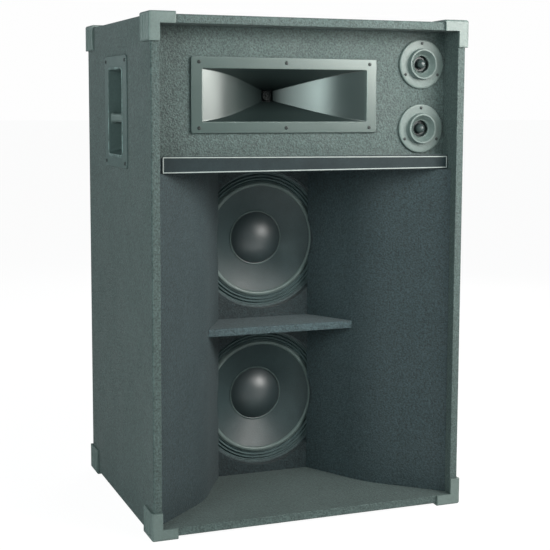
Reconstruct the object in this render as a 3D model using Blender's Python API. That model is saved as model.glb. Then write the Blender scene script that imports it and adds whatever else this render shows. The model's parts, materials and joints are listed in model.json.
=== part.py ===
"""A PA speaker cabinet: a covered sleeve with a flared mouth, two woofers, a horn and two tweeters."""

import math

import bmesh
import bpy
from mathutils import Matrix, Vector

# Driving dimensions, in metres. The cabinet stands on its corner protectors, centred on the origin.
# "depth" runs back from the front rim and "height" runs up from the underside of the bottom panel.
BODY_WIDTH = 0.662
BODY_DEPTH = 0.525
BODY_HEIGHT = 1.0
BOARD = 0.0168
GAP = 0.0003
FOOT = 0.005

HALF_WIDTH = BODY_WIDTH / 2
INNER_HALF = HALF_WIDTH - BOARD
INNER_FIT = INNER_HALF - GAP
INNER_FLOOR = BOARD + GAP
INNER_TOP = BODY_HEIGHT - BOARD - GAP

# The upper compartment and the strip across its lower edge.
UPPER_BAFFLE_DEPTH = 0.058
BAFFLE_THICKNESS = 0.016
ROOF_HEIGHT = 0.7015
ROOF_THICKNESS = 0.0155
RAIL_DEPTH = 0.0365
STRIP_TOP = 0.7315
STRIP_SPAN = (-0.3005, 0.3130)
STRIP_THICKNESS = 0.0018

# The lower mouth: each flare runs from the rim to a kink and on to the woofer baffle.
WOOFER_BAFFLE_DEPTH = 0.286
WOOFER_BAFFLE_THICKNESS = 0.018
FLARE_FRONT_DEPTH = 0.021
FLARE_KINK = (0.1826, 0.139)
THROAT_HALF = 0.1045
FLARE_THICKNESS = 0.012
FLARE_KINK_BACK = (0.80, 0.66)
SHELF_FRONT_DEPTH = 0.175
SHELF_TOP = 0.368

REAR_PANEL_DEPTH = 0.507
CLEAT = 0.020
BRACE_HALF_WIDTH = 0.050
BRACE_HEIGHT = (0.3505, 0.3685)

# Woofers: (name, height of the axis). Depths along a woofer run back from the baffle's rear face.
WOOFERS = (("upper_woofer", 0.5385), ("lower_woofer", 0.185))
WOOFER_HOLE = 0.1515
WOOFER_RIM = 0.1570
FRAME_INNER = 0.1466
CONE_RADIUS = 0.1268
CONE_BEAD = 0.0102
DUST_CAP_RADIUS = 0.0575
FLARE_RELIEF_RADIUS = 0.112
COIL_RADIUS = 0.0378
PLEATS = 3
PLEAT_HEIGHT = 0.0017

# High-frequency horn: centre, half sizes of flange, mouth and throat, and the depth of the throat.
HORN_CENTRE = (-0.0398, 0.8510)
HORN_FLANGE_HALF = (0.1968, 0.0738)
HORN_MOUTH_HALF = (0.1740, 0.0512)
HORN_THROAT_HALF = (0.0125, 0.0115)
HORN_LENGTH = 0.107
HORN_WALL = 0.003
HORN_FLANGE_THICKNESS = 0.005
HORN_STRAIGHT_FLARE = 0.128
HORN_LIP_POWER = 6
HORN_SECTIONS = 12
HORN_SECTION_CROWDING = 1.6
HORN_NECK = 0.010
FLANGE_CHAMFER = 0.0012
DRIVER_RADIUS = 0.045
DRIVER_LENGTH = 0.055

# Tweeters: (name, height of the axis).
TWEETERS = (("upper_tweeter", 0.9168), ("lower_tweeter", 0.7850))
TWEETER_X = 0.2593
TWEETER_RADIUS = 0.0500
TWEETER_BODY_RADIUS = 0.040

# Side handles: the plate, its opening and the bar across it, as (depth, height) ranges.
HANDLE_PLATE = ((0.1730, 0.3540), (0.7040, 0.9310))
HANDLE_OPENING = ((0.2085, 0.3185), (0.7310, 0.9030))
HANDLE_WALL = 0.0025
HANDLE_POCKET = 0.050
GRIP_HEIGHT = 0.8050
GRIP_SECTION = (0.0140, 0.0180)

# Corner protectors: how far each leg reaches from the corner.
PROTECTOR_REACH = (0.048, 0.060, 0.050)
PROTECTOR_RIBS = (-0.050, -0.0365, -0.023, -0.0095)
RIB_RADIUS = 0.0022
RIB_SHARE = 0.86
PROTECTOR_ROUND = 0.0045
PROTECTOR_END_CHAMFER = 0.0030
MATCH = 1e-6
BEYOND = 0.2
RIM_BAND = 0.0172

# The crossover, the damping blanket and the rear connections.
CROSSOVER_X = (-0.220, -0.090)
CROSSOVER_HEIGHT = (0.600, 0.700)
CROSSOVER_THICKNESS = 0.0018
BLANKET_HALF_WIDTH = 0.270
BLANKET_HEIGHT = (0.050, 0.340)
BLANKET_THICKNESS = 0.022
TERMINAL_CENTRE = (0.0, 0.640)
TERMINAL_PLATE_HALF = (0.070, 0.052)
TERMINAL_POCKET_HALF = (0.060, 0.042)
TERMINAL_POCKET = 0.030
JACK_X = (-0.036, -0.010)
JACK_BORE = 0.0034
JACK_BUSHING = 0.0050
JACK_LENGTH = 0.034
LEVER_X = (0.014, 0.040)
LEVER_HALF_WIDTH = 0.0080
LEVER_BARREL = 0.0030
LEVER_FLOOR_GAP = 0.0012
LEVER_HINGE_DROP = 0.010
LEVER_LEAN = math.radians(28)
LEVER_LENGTH = 0.024
LEVER_THICKNESS = 0.0030
PIVOT_RADIUS = 0.0013
PIVOT_LENGTH = 0.0016
CHEEK = (0.0030, 0.0085, 0.0100)
WIRE_HOLE = 0.0014

ROUND_STEPS = 40
COARSE_STEPS = 24
HORN_STEPS = 32
HOLE_STEPS = 56
PIN_STEPS = 12
SMOOTH_ANGLE = math.radians(32)
AXIS_SNAP = 1e-9


def front(depth):
    """World y of a point this far behind the front rim."""
    return depth - BODY_DEPTH / 2


def up(height):
    """World z of a point this far above the underside of the bottom panel."""
    return height + FOOT


def material(name, colour, roughness, metallic=0.0):
    made = bpy.data.materials.new(name)
    made.use_nodes = True
    made.diffuse_color = (*colour, 1.0)
    shader = made.node_tree.nodes["Principled BSDF"]
    shader.inputs["Base Color"].default_value = (*colour, 1.0)
    shader.inputs["Roughness"].default_value = roughness
    shader.inputs["Metallic"].default_value = metallic
    return made


# Colour, roughness and metallic value of each finish.
FINISHES = {
    "covering": ((0.072, 0.092, 0.088), 0.92, 0.0),
    "baffle_covering": ((0.050, 0.066, 0.064), 0.92, 0.0),
    "moulding": ((0.110, 0.140, 0.132), 0.45, 0.0),
    "black_moulding": ((0.030, 0.038, 0.038), 0.40, 0.0),
    "strip": ((0.010, 0.011, 0.012), 0.30, 0.0),
    "paper": ((0.060, 0.070, 0.068), 0.85, 0.0),
    "cloth": ((0.035, 0.042, 0.042), 0.75, 0.0),
    "spider_cloth": ((0.420, 0.270, 0.090), 0.90, 0.0),
    "cork": ((0.075, 0.070, 0.060), 0.90, 0.0),
    "basket_steel": ((0.050, 0.052, 0.055), 0.45, 0.6),
    "ferrite": ((0.045, 0.045, 0.050), 0.55, 0.2),
    "zinc": ((0.550, 0.560, 0.570), 0.35, 1.0),
    "board_wood": ((0.430, 0.320, 0.200), 0.85, 0.0),
    "circuit_board": ((0.050, 0.170, 0.070), 0.50, 0.0),
    "copper": ((0.620, 0.260, 0.120), 0.35, 0.9),
    "wadding": ((0.700, 0.690, 0.650), 1.0, 0.0),
    "red_plastic": ((0.420, 0.020, 0.018), 0.35, 0.0),
    "black_plastic": ((0.014, 0.014, 0.015), 0.35, 0.0),
}


def add_object(name, bm, finish, origin=(0.0, 0.0, 0.0)):
    """An object from a bmesh in world metres, its origin moved to the given point."""
    bmesh.ops.translate(bm, verts=bm.verts, vec=-Vector(origin))
    bmesh.ops.recalc_face_normals(bm, faces=bm.faces)
    for edge in bm.edges:
        edge.smooth = edge.calc_face_angle(math.pi) < SMOOTH_ANGLE
    for face in bm.faces:
        face.smooth = True
    mesh = bpy.data.meshes.new(name)
    bm.to_mesh(mesh)
    bm.free()
    made = bpy.data.objects.new(name, mesh)
    made.location = origin
    bpy.context.collection.objects.link(made)
    mesh.materials.append(material(name, *FINISHES[finish]))
    return made


def add_box_faces(bm, x, y, z):
    """A closed box between the two world coordinates given on each axis."""
    centre = Vector((sum(x) / 2, sum(y) / 2, sum(z) / 2))
    size = Vector((abs(x[1] - x[0]), abs(y[1] - y[0]), abs(z[1] - z[0])))
    place = Matrix.Translation(centre) @ Matrix.Diagonal((*size, 1.0))
    bmesh.ops.create_cube(bm, size=1.0, matrix=place)


def board(name, x, depth, height, finish):
    """A flat board given by its x, depth and height ranges."""
    bm = bmesh.new()
    add_box_faces(bm, x, [front(d) for d in depth], [up(h) for h in height])
    return add_object(name, bm, finish)


def bridge(bm, first, second):
    """Quads between two closed loops of vertices of the same length."""
    count = len(first)
    for i in range(count):
        j = (i + 1) % count
        bm.faces.new((first[i], first[j], second[j], second[i]))


def loft(name, loops, finish, capped=True, origin=(0.0, 0.0, 0.0)):
    """A solid through closed loops of points: capped at both ends, or closed round on itself."""
    bm = bmesh.new()
    rings = [[bm.verts.new(point) for point in loop] for loop in loops]
    for first, second in zip(rings, rings[1:]):
        bridge(bm, first, second)
    if capped:
        bm.faces.new(rings[0])
        bm.faces.new(rings[-1])
    else:
        bridge(bm, rings[-1], rings[0])
    return add_object(name, bm, finish, origin)


def prism(name, outline, height, finish):
    """A solid with an (x, depth) outline between two heights."""
    loops = [[(x, front(d), up(h)) for x, d in outline] for h in height]
    return loft(name, loops, finish)


def rounded_rectangle(half, radius, corner_steps):
    """Points round a rectangle with rounded corners, as (across, along) from its centre."""
    points = []
    for corner in range(4):
        sign_a = (1, -1, -1, 1)[corner]
        sign_b = (1, 1, -1, -1)[corner]
        for step in range(corner_steps + 1):
            angle = math.pi / 2 * (corner + step / corner_steps)
            across = sign_a * (half[0] - radius) + radius * math.cos(angle)
            along = sign_b * (half[1] - radius) + radius * math.sin(angle)
            points.append((across, along))
    return points


def facing_loop(centre, half, radius, depth, corner_steps=2):
    """A rounded rectangle that faces the front, at a depth. The centre is (x, height)."""
    outline = rounded_rectangle(half, radius, corner_steps)
    return [(centre[0] + a, front(depth), up(centre[1] + b)) for a, b in outline]


def spun(bm, profile, x, height, steps):
    """Adds the solid that a closed (radius, depth) profile sweeps round an axis along y."""
    rings = []
    for radius, depth in profile:
        if radius < AXIS_SNAP:
            rings.append([bm.verts.new((x, front(depth), up(height)))])
            continue
        ring = []
        for step in range(steps):
            angle = 2 * math.pi * step / steps
            point = (x + radius * math.cos(angle), front(depth), up(height) + radius * math.sin(angle))
            ring.append(bm.verts.new(point))
        rings.append(ring)
    for first, second in zip(rings, rings[1:] + rings[:1]):
        if len(first) == 1 and len(second) == 1:
            continue
        if len(first) > 1 and len(second) > 1:
            bridge(bm, first, second)
            continue
        pole, ring = (first, second) if len(first) == 1 else (second, first)
        for step in range(steps):
            bm.faces.new((pole[0], ring[step], ring[(step + 1) % steps]))


def spin_solid(name, profile, x, height, finish, steps=ROUND_STEPS, origin_depth=0.0):
    bm = bmesh.new()
    spun(bm, profile, x, height, steps)
    return add_object(name, bm, finish, (x, front(origin_depth), up(height)))


def cut(target, cutter_name, bm, operation="DIFFERENCE"):
    """Takes a closed cutter away from the target with a live Boolean, or joins it on with UNION."""
    bmesh.ops.recalc_face_normals(bm, faces=bm.faces)
    mesh = bpy.data.meshes.new(cutter_name)
    bm.to_mesh(mesh)
    bm.free()
    cutter = bpy.data.objects.new(cutter_name, mesh)
    bpy.context.collection.objects.link(cutter)
    cutter.hide_render = True
    cutter.display_type = "WIRE"
    boolean = target.modifiers.new(cutter_name, "BOOLEAN")
    boolean.operation = operation
    boolean.object = cutter
    boolean.solver = "EXACT"


def cylinder_cutter(radius, x, height, depth, steps=ROUND_STEPS):
    bm = bmesh.new()
    spun(bm, [(0, depth[0]), (radius, depth[0]), (radius, depth[1]), (0, depth[1])], x, height, steps)
    return bm


def box_cutter(x, depth, height):
    bm = bmesh.new()
    add_box_faces(bm, x, [front(d) for d in depth], [up(h) for h in height])
    return bm


def widened(limits, margin):
    return (limits[0] - margin, limits[1] + margin)


def middle(limits):
    return sum(limits) / 2


def half_of(limits):
    return (limits[1] - limits[0]) / 2


# The sleeve and the boards inside it


def build_sleeve():
    full = (0.0, BODY_DEPTH)
    across = (-HALF_WIDTH, HALF_WIDTH)
    board("top_panel", across, full, (BODY_HEIGHT - BOARD, BODY_HEIGHT), "covering")
    board("bottom_panel", across, full, (0.0, BOARD), "covering")
    depth = widened(HANDLE_OPENING[0], 2 * HANDLE_WALL)
    height = widened(HANDLE_OPENING[1], 2 * HANDLE_WALL)
    for side, sign in (("left", -1), ("right", 1)):
        x = (sign * HALF_WIDTH, sign * INNER_HALF)
        panel = board(f"{side}_side_panel", x, full, (INNER_FLOOR, INNER_TOP), "covering")
        through = (sign * (HALF_WIDTH + BOARD), sign * (INNER_HALF - BOARD))
        cut(panel, f"{side}_handle_cutout", box_cutter(through, depth, height))


def build_rear():
    depth = (REAR_PANEL_DEPTH, REAR_PANEL_DEPTH + BAFFLE_THICKNESS)
    across = (-INNER_FIT, INNER_FIT)
    panel = board("rear_panel", across, depth, (INNER_FLOOR, INNER_TOP), "covering")
    x = (TERMINAL_CENTRE[0] - TERMINAL_POCKET_HALF[0] - 2 * HANDLE_WALL,
         TERMINAL_CENTRE[0] + TERMINAL_POCKET_HALF[0] + 2 * HANDLE_WALL)
    height = (TERMINAL_CENTRE[1] - TERMINAL_POCKET_HALF[1] - 2 * HANDLE_WALL,
              TERMINAL_CENTRE[1] + TERMINAL_POCKET_HALF[1] + 2 * HANDLE_WALL)
    cut(panel, "terminal_cutout", box_cutter(x, widened(depth, BOARD), height))
    cleat_depth = (REAR_PANEL_DEPTH - GAP - CLEAT, REAR_PANEL_DEPTH - GAP)
    board("rear_cleat_top", across, cleat_depth, (INNER_TOP - CLEAT, INNER_TOP), "board_wood")
    board("rear_cleat_bottom", across, cleat_depth, (INNER_FLOOR, INNER_FLOOR + CLEAT), "board_wood")


def build_upper_compartment():
    across = (-INNER_FIT, INNER_FIT)
    roof_top = ROOF_HEIGHT + ROOF_THICKNESS
    roof_depth = (RAIL_DEPTH, WOOFER_BAFFLE_DEPTH + WOOFER_BAFFLE_THICKNESS)
    board("mouth_roof", across, roof_depth, (ROOF_HEIGHT, roof_top), "baffle_covering")
    depth = (UPPER_BAFFLE_DEPTH, UPPER_BAFFLE_DEPTH + BAFFLE_THICKNESS)
    baffle = board("upper_baffle", across, depth, (roof_top + GAP, INNER_TOP), "covering")
    half = (HORN_MOUTH_HALF[0] + 2 * HORN_WALL, HORN_MOUTH_HALF[1] + 2 * HORN_WALL)
    x = (HORN_CENTRE[0] - half[0], HORN_CENTRE[0] + half[0])
    height = (HORN_CENTRE[1] - half[1], HORN_CENTRE[1] + half[1])
    through = widened(depth, BOARD)
    cut(baffle, "horn_cutout", box_cutter(x, through, height))
    for name, axis_height in TWEETERS:
        hole = cylinder_cutter(TWEETER_BODY_RADIUS + HANDLE_WALL, TWEETER_X, axis_height, through)
        cut(baffle, f"{name}_cutout", hole)
    rail_depth = (RAIL_DEPTH, UPPER_BAFFLE_DEPTH - GAP)
    board("name_rail", across, rail_depth, (roof_top + GAP, STRIP_TOP - GAP), "baffle_covering")
    strip_depth = (RAIL_DEPTH - GAP - STRIP_THICKNESS, RAIL_DEPTH - GAP)
    board("name_strip", STRIP_SPAN, strip_depth, (ROOF_HEIGHT + GAP, STRIP_TOP), "strip")


def build_mouth():
    floor_to_roof = (INNER_FLOOR, ROOF_HEIGHT - GAP)
    depth = (WOOFER_BAFFLE_DEPTH, WOOFER_BAFFLE_DEPTH + WOOFER_BAFFLE_THICKNESS)
    across = (-INNER_FIT, INNER_FIT)
    baffle = board("woofer_baffle", across, depth, floor_to_roof, "baffle_covering")
    for name, axis_height in WOOFERS:
        hole = cylinder_cutter(WOOFER_HOLE, 0.0, axis_height, widened(depth, BOARD), HOLE_STEPS)
        cut(baffle, f"{name}_cutout", hole)
    for side, sign in (("left", -1), ("right", 1)):
        build_flare(side, sign, floor_to_roof)
    build_shelf()
    brace_depth = (depth[1] + GAP, REAR_PANEL_DEPTH - GAP)
    board("centre_brace", (-BRACE_HALF_WIDTH, BRACE_HALF_WIDTH), brace_depth, BRACE_HEIGHT, "board_wood")


def offset_point(first, second, where, thickness, reach):
    """The point of the first-second line moved back by the thickness, where its x or depth is reach."""
    run = Vector(second) - Vector(first)
    back = Vector((-run.y, run.x)).normalized() * thickness
    if back.x < 0:
        back = -back
    start = Vector(first) + back
    axis = 0 if where == "x" else 1
    share = (reach - start[axis]) / run[axis]
    return tuple(start + run * share)


def mirrored(outline, sign):
    return [(sign * x, depth) for x, depth in outline]


def build_flare(side, sign, height):
    """The two flat boards of one flare. Each is drawn for the right side and mirrored for the left."""
    rim = (INNER_FIT, FLARE_FRONT_DEPTH)
    throat = (THROAT_HALF, WOOFER_BAFFLE_DEPTH - GAP)
    kink_back = tuple(k + FLARE_THICKNESS * share for k, share in zip(FLARE_KINK, FLARE_KINK_BACK))
    rim_back = offset_point(rim, FLARE_KINK, "x", FLARE_THICKNESS, INNER_FIT)
    throat_back = offset_point(FLARE_KINK, throat, "depth", FLARE_THICKNESS, throat[1])
    front_board = [rim, FLARE_KINK, kink_back, rim_back]
    step = GAP * 1.2
    rear_board = [
        (FLARE_KINK[0] - step * 0.5, FLARE_KINK[1] + step),
        throat,
        throat_back,
        (kink_back[0] - step * 0.5, kink_back[1] + step),
    ]
    prism(f"{side}_flare_front", mirrored(front_board, sign), height, "baffle_covering")
    rear = prism(f"{side}_flare_rear", mirrored(rear_board, sign), height, "baffle_covering")
    for name, axis_height in WOOFERS:
        reach = (FLARE_KINK[1], WOOFER_BAFFLE_DEPTH + BOARD)
        relief = cylinder_cutter(FLARE_RELIEF_RADIUS, 0.0, axis_height, reach)
        cut(rear, f"{side}_{name}_relief", relief)


def build_shelf():
    rise = (THROAT_HALF - FLARE_KINK[0]) / (WOOFER_BAFFLE_DEPTH - FLARE_KINK[1])
    front_half = THROAT_HALF + rise * (SHELF_FRONT_DEPTH - WOOFER_BAFFLE_DEPTH) - 2 * GAP
    back_depth = WOOFER_BAFFLE_DEPTH - GAP
    back_half = THROAT_HALF - 2 * GAP
    outline = [
        (-front_half, SHELF_FRONT_DEPTH),
        (front_half, SHELF_FRONT_DEPTH),
        (back_half, back_depth),
        (-back_half, back_depth),
    ]
    prism("divider_shelf", outline, (SHELF_TOP - BOARD, SHELF_TOP), "baffle_covering")


# Woofers


def cone_profile(base):
    """Closed section of the paper cone: a bead at the edge, then a gently curved wall to the neck."""
    bead = [(CONE_RADIUS, 0.0042), (CONE_RADIUS - 0.0008, 0.0020), (CONE_RADIUS - 0.0033, 0.0005),
            (CONE_RADIUS - 0.0067, 0.0005), (CONE_RADIUS - CONE_BEAD, 0.0044)]
    wall = [(0.1000, 0.0120), (0.0790, 0.0231), (0.0575, 0.0355), (0.0386, 0.0478)]
    thickness = 0.0012
    rear = [(r, d + thickness) for r, d in reversed(wall)]
    edge = [(CONE_RADIUS - CONE_BEAD + 0.0010, 0.0056), (CONE_RADIUS - 0.0002, 0.0056)]
    return [(r, base + d) for r, d in bead + wall + rear + edge]


def dust_cap_profile(base):
    """A domed shell that sits on the cone, closed on the axis."""
    rim_depth = base + 0.0350
    rise = 0.0255
    sphere = (DUST_CAP_RADIUS**2 + rise**2) / (2 * rise)
    steps = 6
    widest = math.asin(DUST_CAP_RADIUS / sphere)
    centre = rim_depth - rise + sphere
    outer = [(sphere * math.sin(a), centre - sphere * math.cos(a))
             for a in (widest * i / steps for i in range(steps + 1))]
    thickness = 0.0009
    inner_sphere = sphere - thickness
    inner_widest = math.asin((DUST_CAP_RADIUS - 0.0007) / inner_sphere)
    inner = [(inner_sphere * math.sin(a), centre - inner_sphere * math.cos(a))
             for a in (inner_widest * i / steps for i in range(steps, -1, -1))]
    return outer + inner


def surround_profile(base):
    """Pleated cloth from the cone's edge out to the frame, then a flat rim under the gasket."""
    start, end = CONE_RADIUS + 0.0004, FRAME_INNER - 0.0016
    thickness = 0.0008
    rest = base + 0.0042
    folds = 2 * PLEATS
    upper = [(start, rest)]
    for i in range(folds):
        radius = start + (end - start) * (i + 0.5) / folds
        upper.append((radius, rest - PLEAT_HEIGHT * (-1) ** i))
    upper += [(end, rest), (WOOFER_RIM - 0.0005, rest)]
    return upper + [(r, d + thickness) for r, d in reversed(upper)]


def spider_profile(base):
    start, end = COIL_RADIUS + 0.0012, 0.0740
    thickness = 0.0009
    steps = 8
    rest = base + 0.0620
    face = [(start + (end - start) * i / steps, rest + 0.0015 * (i % 2)) for i in range(steps + 1)]
    return face + [(r, d + thickness) for r, d in reversed(face)]


def basket_profile(base):
    """Section of the pressed frame: mounting flange, sloping wall, spider ledge and rear plate."""
    return [
        (FRAME_INNER, base + 0.0054), (WOOFER_RIM, base + 0.0054), (WOOFER_RIM, base + 0.0075),
        (0.1490, base + 0.0075), (0.1330, base + 0.0300), (0.0850, base + 0.0672),
        (0.0760, base + 0.0740), (0.0420, base + 0.0740), (0.0420, base + 0.0720),
        (0.0745, base + 0.0720), (0.0745, base + 0.0650), (0.0835, base + 0.0645),
        (0.1312, base + 0.0280), (FRAME_INNER, base + 0.0075),
    ]


def magnet_profile(base):
    """Section of the motor: front plate, ferrite ring, back plate and pole piece as one assembly."""
    return [
        (0.0, base + 0.0730), (0.0360, base + 0.0730), (0.0360, base + 0.1080), (0.0398, base + 0.1080),
        (0.0398, base + 0.0744), (0.0680, base + 0.0744), (0.0680, base + 0.0815), (0.0780, base + 0.0815),
        (0.0780, base + 0.1065), (0.0680, base + 0.1065), (0.0680, base + 0.1150), (0.0, base + 0.1150),
    ]


def cut_basket_windows(basket, name, height, base):
    windows = 6
    bm = bmesh.new()
    for i in range(windows):
        turn = Matrix.Rotation(2 * math.pi * (i + 0.5) / windows, 4, "Y")
        centre = Vector((0.111, 0.0, 0.0))
        size = Matrix.Diagonal((0.036, 0.060, 0.068, 1.0))
        move = Matrix.Translation((0.0, front(base + 0.0450), up(height)))
        bmesh.ops.create_cube(bm, size=1.0, matrix=move @ turn @ Matrix.Translation(centre) @ size)
    cut(basket, f"{name}_windows", bm)


def build_woofer(name, height):
    base = WOOFER_BAFFLE_DEPTH + WOOFER_BAFFLE_THICKNESS
    gasket = [(FRAME_INNER, base + GAP), (WOOFER_RIM, base + GAP), (WOOFER_RIM, base + 0.0038), (FRAME_INNER, base + 0.0038)]
    coil = [(COIL_RADIUS - 0.0005, base + 0.0440), (COIL_RADIUS + 0.0005, base + 0.0440),
            (COIL_RADIUS + 0.0005, base + 0.0930), (COIL_RADIUS - 0.0005, base + 0.0930)]
    spin_solid(f"{name}_gasket", gasket, 0.0, height, "cork")
    spin_solid(f"{name}_cone", cone_profile(base), 0.0, height, "paper", ROUND_STEPS, base)
    spin_solid(f"{name}_dust_cap", dust_cap_profile(base), 0.0, height, "paper", ROUND_STEPS, base)
    spin_solid(f"{name}_voice_coil", coil, 0.0, height, "copper", COARSE_STEPS, base)
    spin_solid(f"{name}_surround", surround_profile(base), 0.0, height, "cloth")
    spin_solid(f"{name}_spider", spider_profile(base), 0.0, height, "spider_cloth", COARSE_STEPS)
    basket = spin_solid(f"{name}_basket", basket_profile(base), 0.0, height, "basket_steel", COARSE_STEPS)
    cut_basket_windows(basket, name, height, base)
    spin_solid(f"{name}_magnet", magnet_profile(base), 0.0, height, "ferrite", COARSE_STEPS)


# Horn and tweeters


def horn_half(share):
    """Half width and half height of the horn's inside, from throat (0) to mouth (1)."""
    lip = HORN_MOUTH_HALF[0] - HORN_THROAT_HALF[0] - HORN_STRAIGHT_FLARE
    width = HORN_THROAT_HALF[0] + HORN_STRAIGHT_FLARE * share + lip * share**HORN_LIP_POWER
    height = HORN_THROAT_HALF[1] + (HORN_MOUTH_HALF[1] - HORN_THROAT_HALF[1]) * share
    return width, height


def build_horn():
    face = UPPER_BAFFLE_DEPTH - GAP - HORN_FLANGE_THICKNESS
    flange_back = UPPER_BAFFLE_DEPTH - GAP
    end = face + HORN_LENGTH + HORN_NECK
    shares = [1 - (1 - i / HORN_SECTIONS) ** HORN_SECTION_CROWDING for i in range(HORN_SECTIONS + 1)]
    inner = [(horn_half(s), face + HORN_LENGTH * (1 - s)) for s in shares]
    outer = [((w + HORN_WALL, h + HORN_WALL), d) for (w, h), d in inner if d > flange_back + HORN_WALL]
    outer_start = (HORN_MOUTH_HALF[0] + HORN_WALL, HORN_MOUTH_HALF[1] + HORN_WALL)
    flange_front = tuple(h - FLANGE_CHAMFER for h in HORN_FLANGE_HALF)
    rings = [(HORN_THROAT_HALF, end)] + inner
    rings += [(flange_front, face), (HORN_FLANGE_HALF, face + FLANGE_CHAMFER), (HORN_FLANGE_HALF, flange_back)]
    rings += [(outer_start, flange_back)] + outer[::-1]
    rings += [((HORN_THROAT_HALF[0] + HORN_WALL, HORN_THROAT_HALF[1] + HORN_WALL), end)]
    loops = [facing_loop(HORN_CENTRE, half, 0.0015, depth, 1) for half, depth in rings]
    loft("horn_flare", loops, "moulding", capped=False)
    start = end + GAP
    driver = [
        (0.0, start), (0.030, start), (0.030, start + 0.006), (0.041, start + 0.008),
        (DRIVER_RADIUS, start + 0.012), (DRIVER_RADIUS, start + DRIVER_LENGTH - 0.004),
        (DRIVER_RADIUS - 0.003, start + DRIVER_LENGTH), (0.0, start + DRIVER_LENGTH),
    ]
    spin_solid("horn_driver", driver, *HORN_CENTRE, "ferrite", COARSE_STEPS)


def build_tweeter(name, height):
    face = UPPER_BAFFLE_DEPTH - GAP - HORN_FLANGE_THICKNESS
    flange_back = UPPER_BAFFLE_DEPTH - GAP
    body = TWEETER_BODY_RADIUS
    profile = [
        (0.0115, face + 0.0160), (0.0150, face + 0.0080), (0.0205, face + 0.0000), (0.0262, face - 0.0085),
        (0.0275, face - 0.0098), (0.0290, face - 0.0100), (0.0302, face - 0.0088), (0.0308, face),
        (0.0470, face), (0.0492, face + 0.0010), (TWEETER_RADIUS, face + 0.0030),
        (TWEETER_RADIUS, flange_back), (body, flange_back), (body, face + 0.0220), (0.0115, face + 0.0220),
    ]
    spin_solid(f"{name}_horn", profile, TWEETER_X, height, "moulding", HORN_STEPS)
    back = face + 0.0220 + GAP
    motor = [
        (0.0, face - 0.0030), (0.0045, face - 0.0020), (0.0080, face + 0.0025), (0.0090, face + 0.0070),
        (0.0075, face + 0.0125), (0.0075, back), (0.0380, back), (0.0380, back + 0.0100),
        (0.0350, back + 0.0120), (0.0350, back + 0.0240), (0.0, back + 0.0240),
    ]
    spin_solid(f"{name}_motor", motor, TWEETER_X, height, "black_moulding", COARSE_STEPS)


# Handles


def side_loop(sign, depth, height, x, radius, inset=0.0):
    """A rounded rectangle that faces a side panel, with depth and height ranges, at a distance x from centre."""
    half = (half_of(depth) - inset, half_of(height) - inset)
    outline = rounded_rectangle(half, max(radius - inset, 0.0008), 3)
    return [(sign * x, front(middle(depth) + a), up(middle(height) + b)) for a, b in outline]


def build_handle(side, sign):
    plate_back = HALF_WIDTH + GAP
    plate_face = plate_back + HANDLE_WALL
    floor = HALF_WIDTH - HANDLE_POCKET
    depth, height = HANDLE_OPENING
    wall = -HANDLE_WALL
    taper = 0.004
    rings = [
        side_loop(sign, depth, height, floor - HANDLE_WALL, 0.008, wall + taper),
        side_loop(sign, depth, height, plate_back, 0.008, wall),
        side_loop(sign, *HANDLE_PLATE, plate_back, 0.010),
        side_loop(sign, *HANDLE_PLATE, plate_face - 0.0010, 0.010),
        side_loop(sign, *HANDLE_PLATE, plate_face, 0.010, 0.0010),
        side_loop(sign, depth, height, plate_face, 0.008, -0.0060),
        side_loop(sign, depth, height, plate_face + 0.0016, 0.008, -0.0035),
        side_loop(sign, depth, height, plate_face + 0.0012, 0.008, -0.0010),
        side_loop(sign, depth, height, plate_face - 0.0012, 0.008, 0.0002),
        side_loop(sign, depth, height, floor, 0.008, taper),
    ]
    loft(f"{side}_handle_cup", rings, "black_moulding")
    grip_centre = HALF_WIDTH - GRIP_SECTION[0] / 2 - 0.0005
    outline = rounded_rectangle((GRIP_SECTION[0] / 2, GRIP_SECTION[1] / 2), 0.006, 3)
    ends = (depth[0] + 0.0018, depth[1] - 0.0018)
    loops = [[(sign * (grip_centre + a), front(d), up(GRIP_HEIGHT + b)) for a, b in outline] for d in ends]
    loft(f"{side}_handle_grip", loops, "moulding")


# Corner protectors


def protector_mesh():
    """One moulded corner, for a corner at the origin with the cabinet on its negative sides."""
    bm = bmesh.new()
    reach_x, reach_y, reach_z = PROTECTOR_REACH
    add_box_faces(bm, (-reach_x, FOOT), (-reach_y, FOOT), (-reach_z, FOOT))
    outer = [edge for edge in bm.edges if sum(all(v.co[i] > 0 for v in edge.verts) for i in range(3)) == 2]
    bmesh.ops.bevel(bm, geom=outer, offset=PROTECTOR_ROUND, segments=3, profile=0.5, affect="EDGES")
    ends = []
    for edge in bm.edges:
        a, b = (v.co for v in edge.verts)
        for i, reach in enumerate(PROTECTOR_REACH):
            at_end = abs(a[i] + reach) < MATCH and abs(b[i] + reach) < MATCH
            outside = any(a[j] > FOOT - MATCH and b[j] > FOOT - MATCH for j in range(3) if j != i)
            if at_end and outside:
                ends.append(edge)
    bmesh.ops.bevel(bm, geom=ends, offset=PROTECTOR_END_CHAMFER, segments=1, affect="EDGES")
    return bm


def add_protector_helper(name, bm):
    bmesh.ops.recalc_face_normals(bm, faces=bm.faces)
    mesh = bpy.data.meshes.new(name)
    bm.to_mesh(mesh)
    bm.free()
    helper = bpy.data.objects.new(name, mesh)
    bpy.context.collection.objects.link(helper)
    helper.hide_render = True
    helper.display_type = "WIRE"
    return helper


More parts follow.
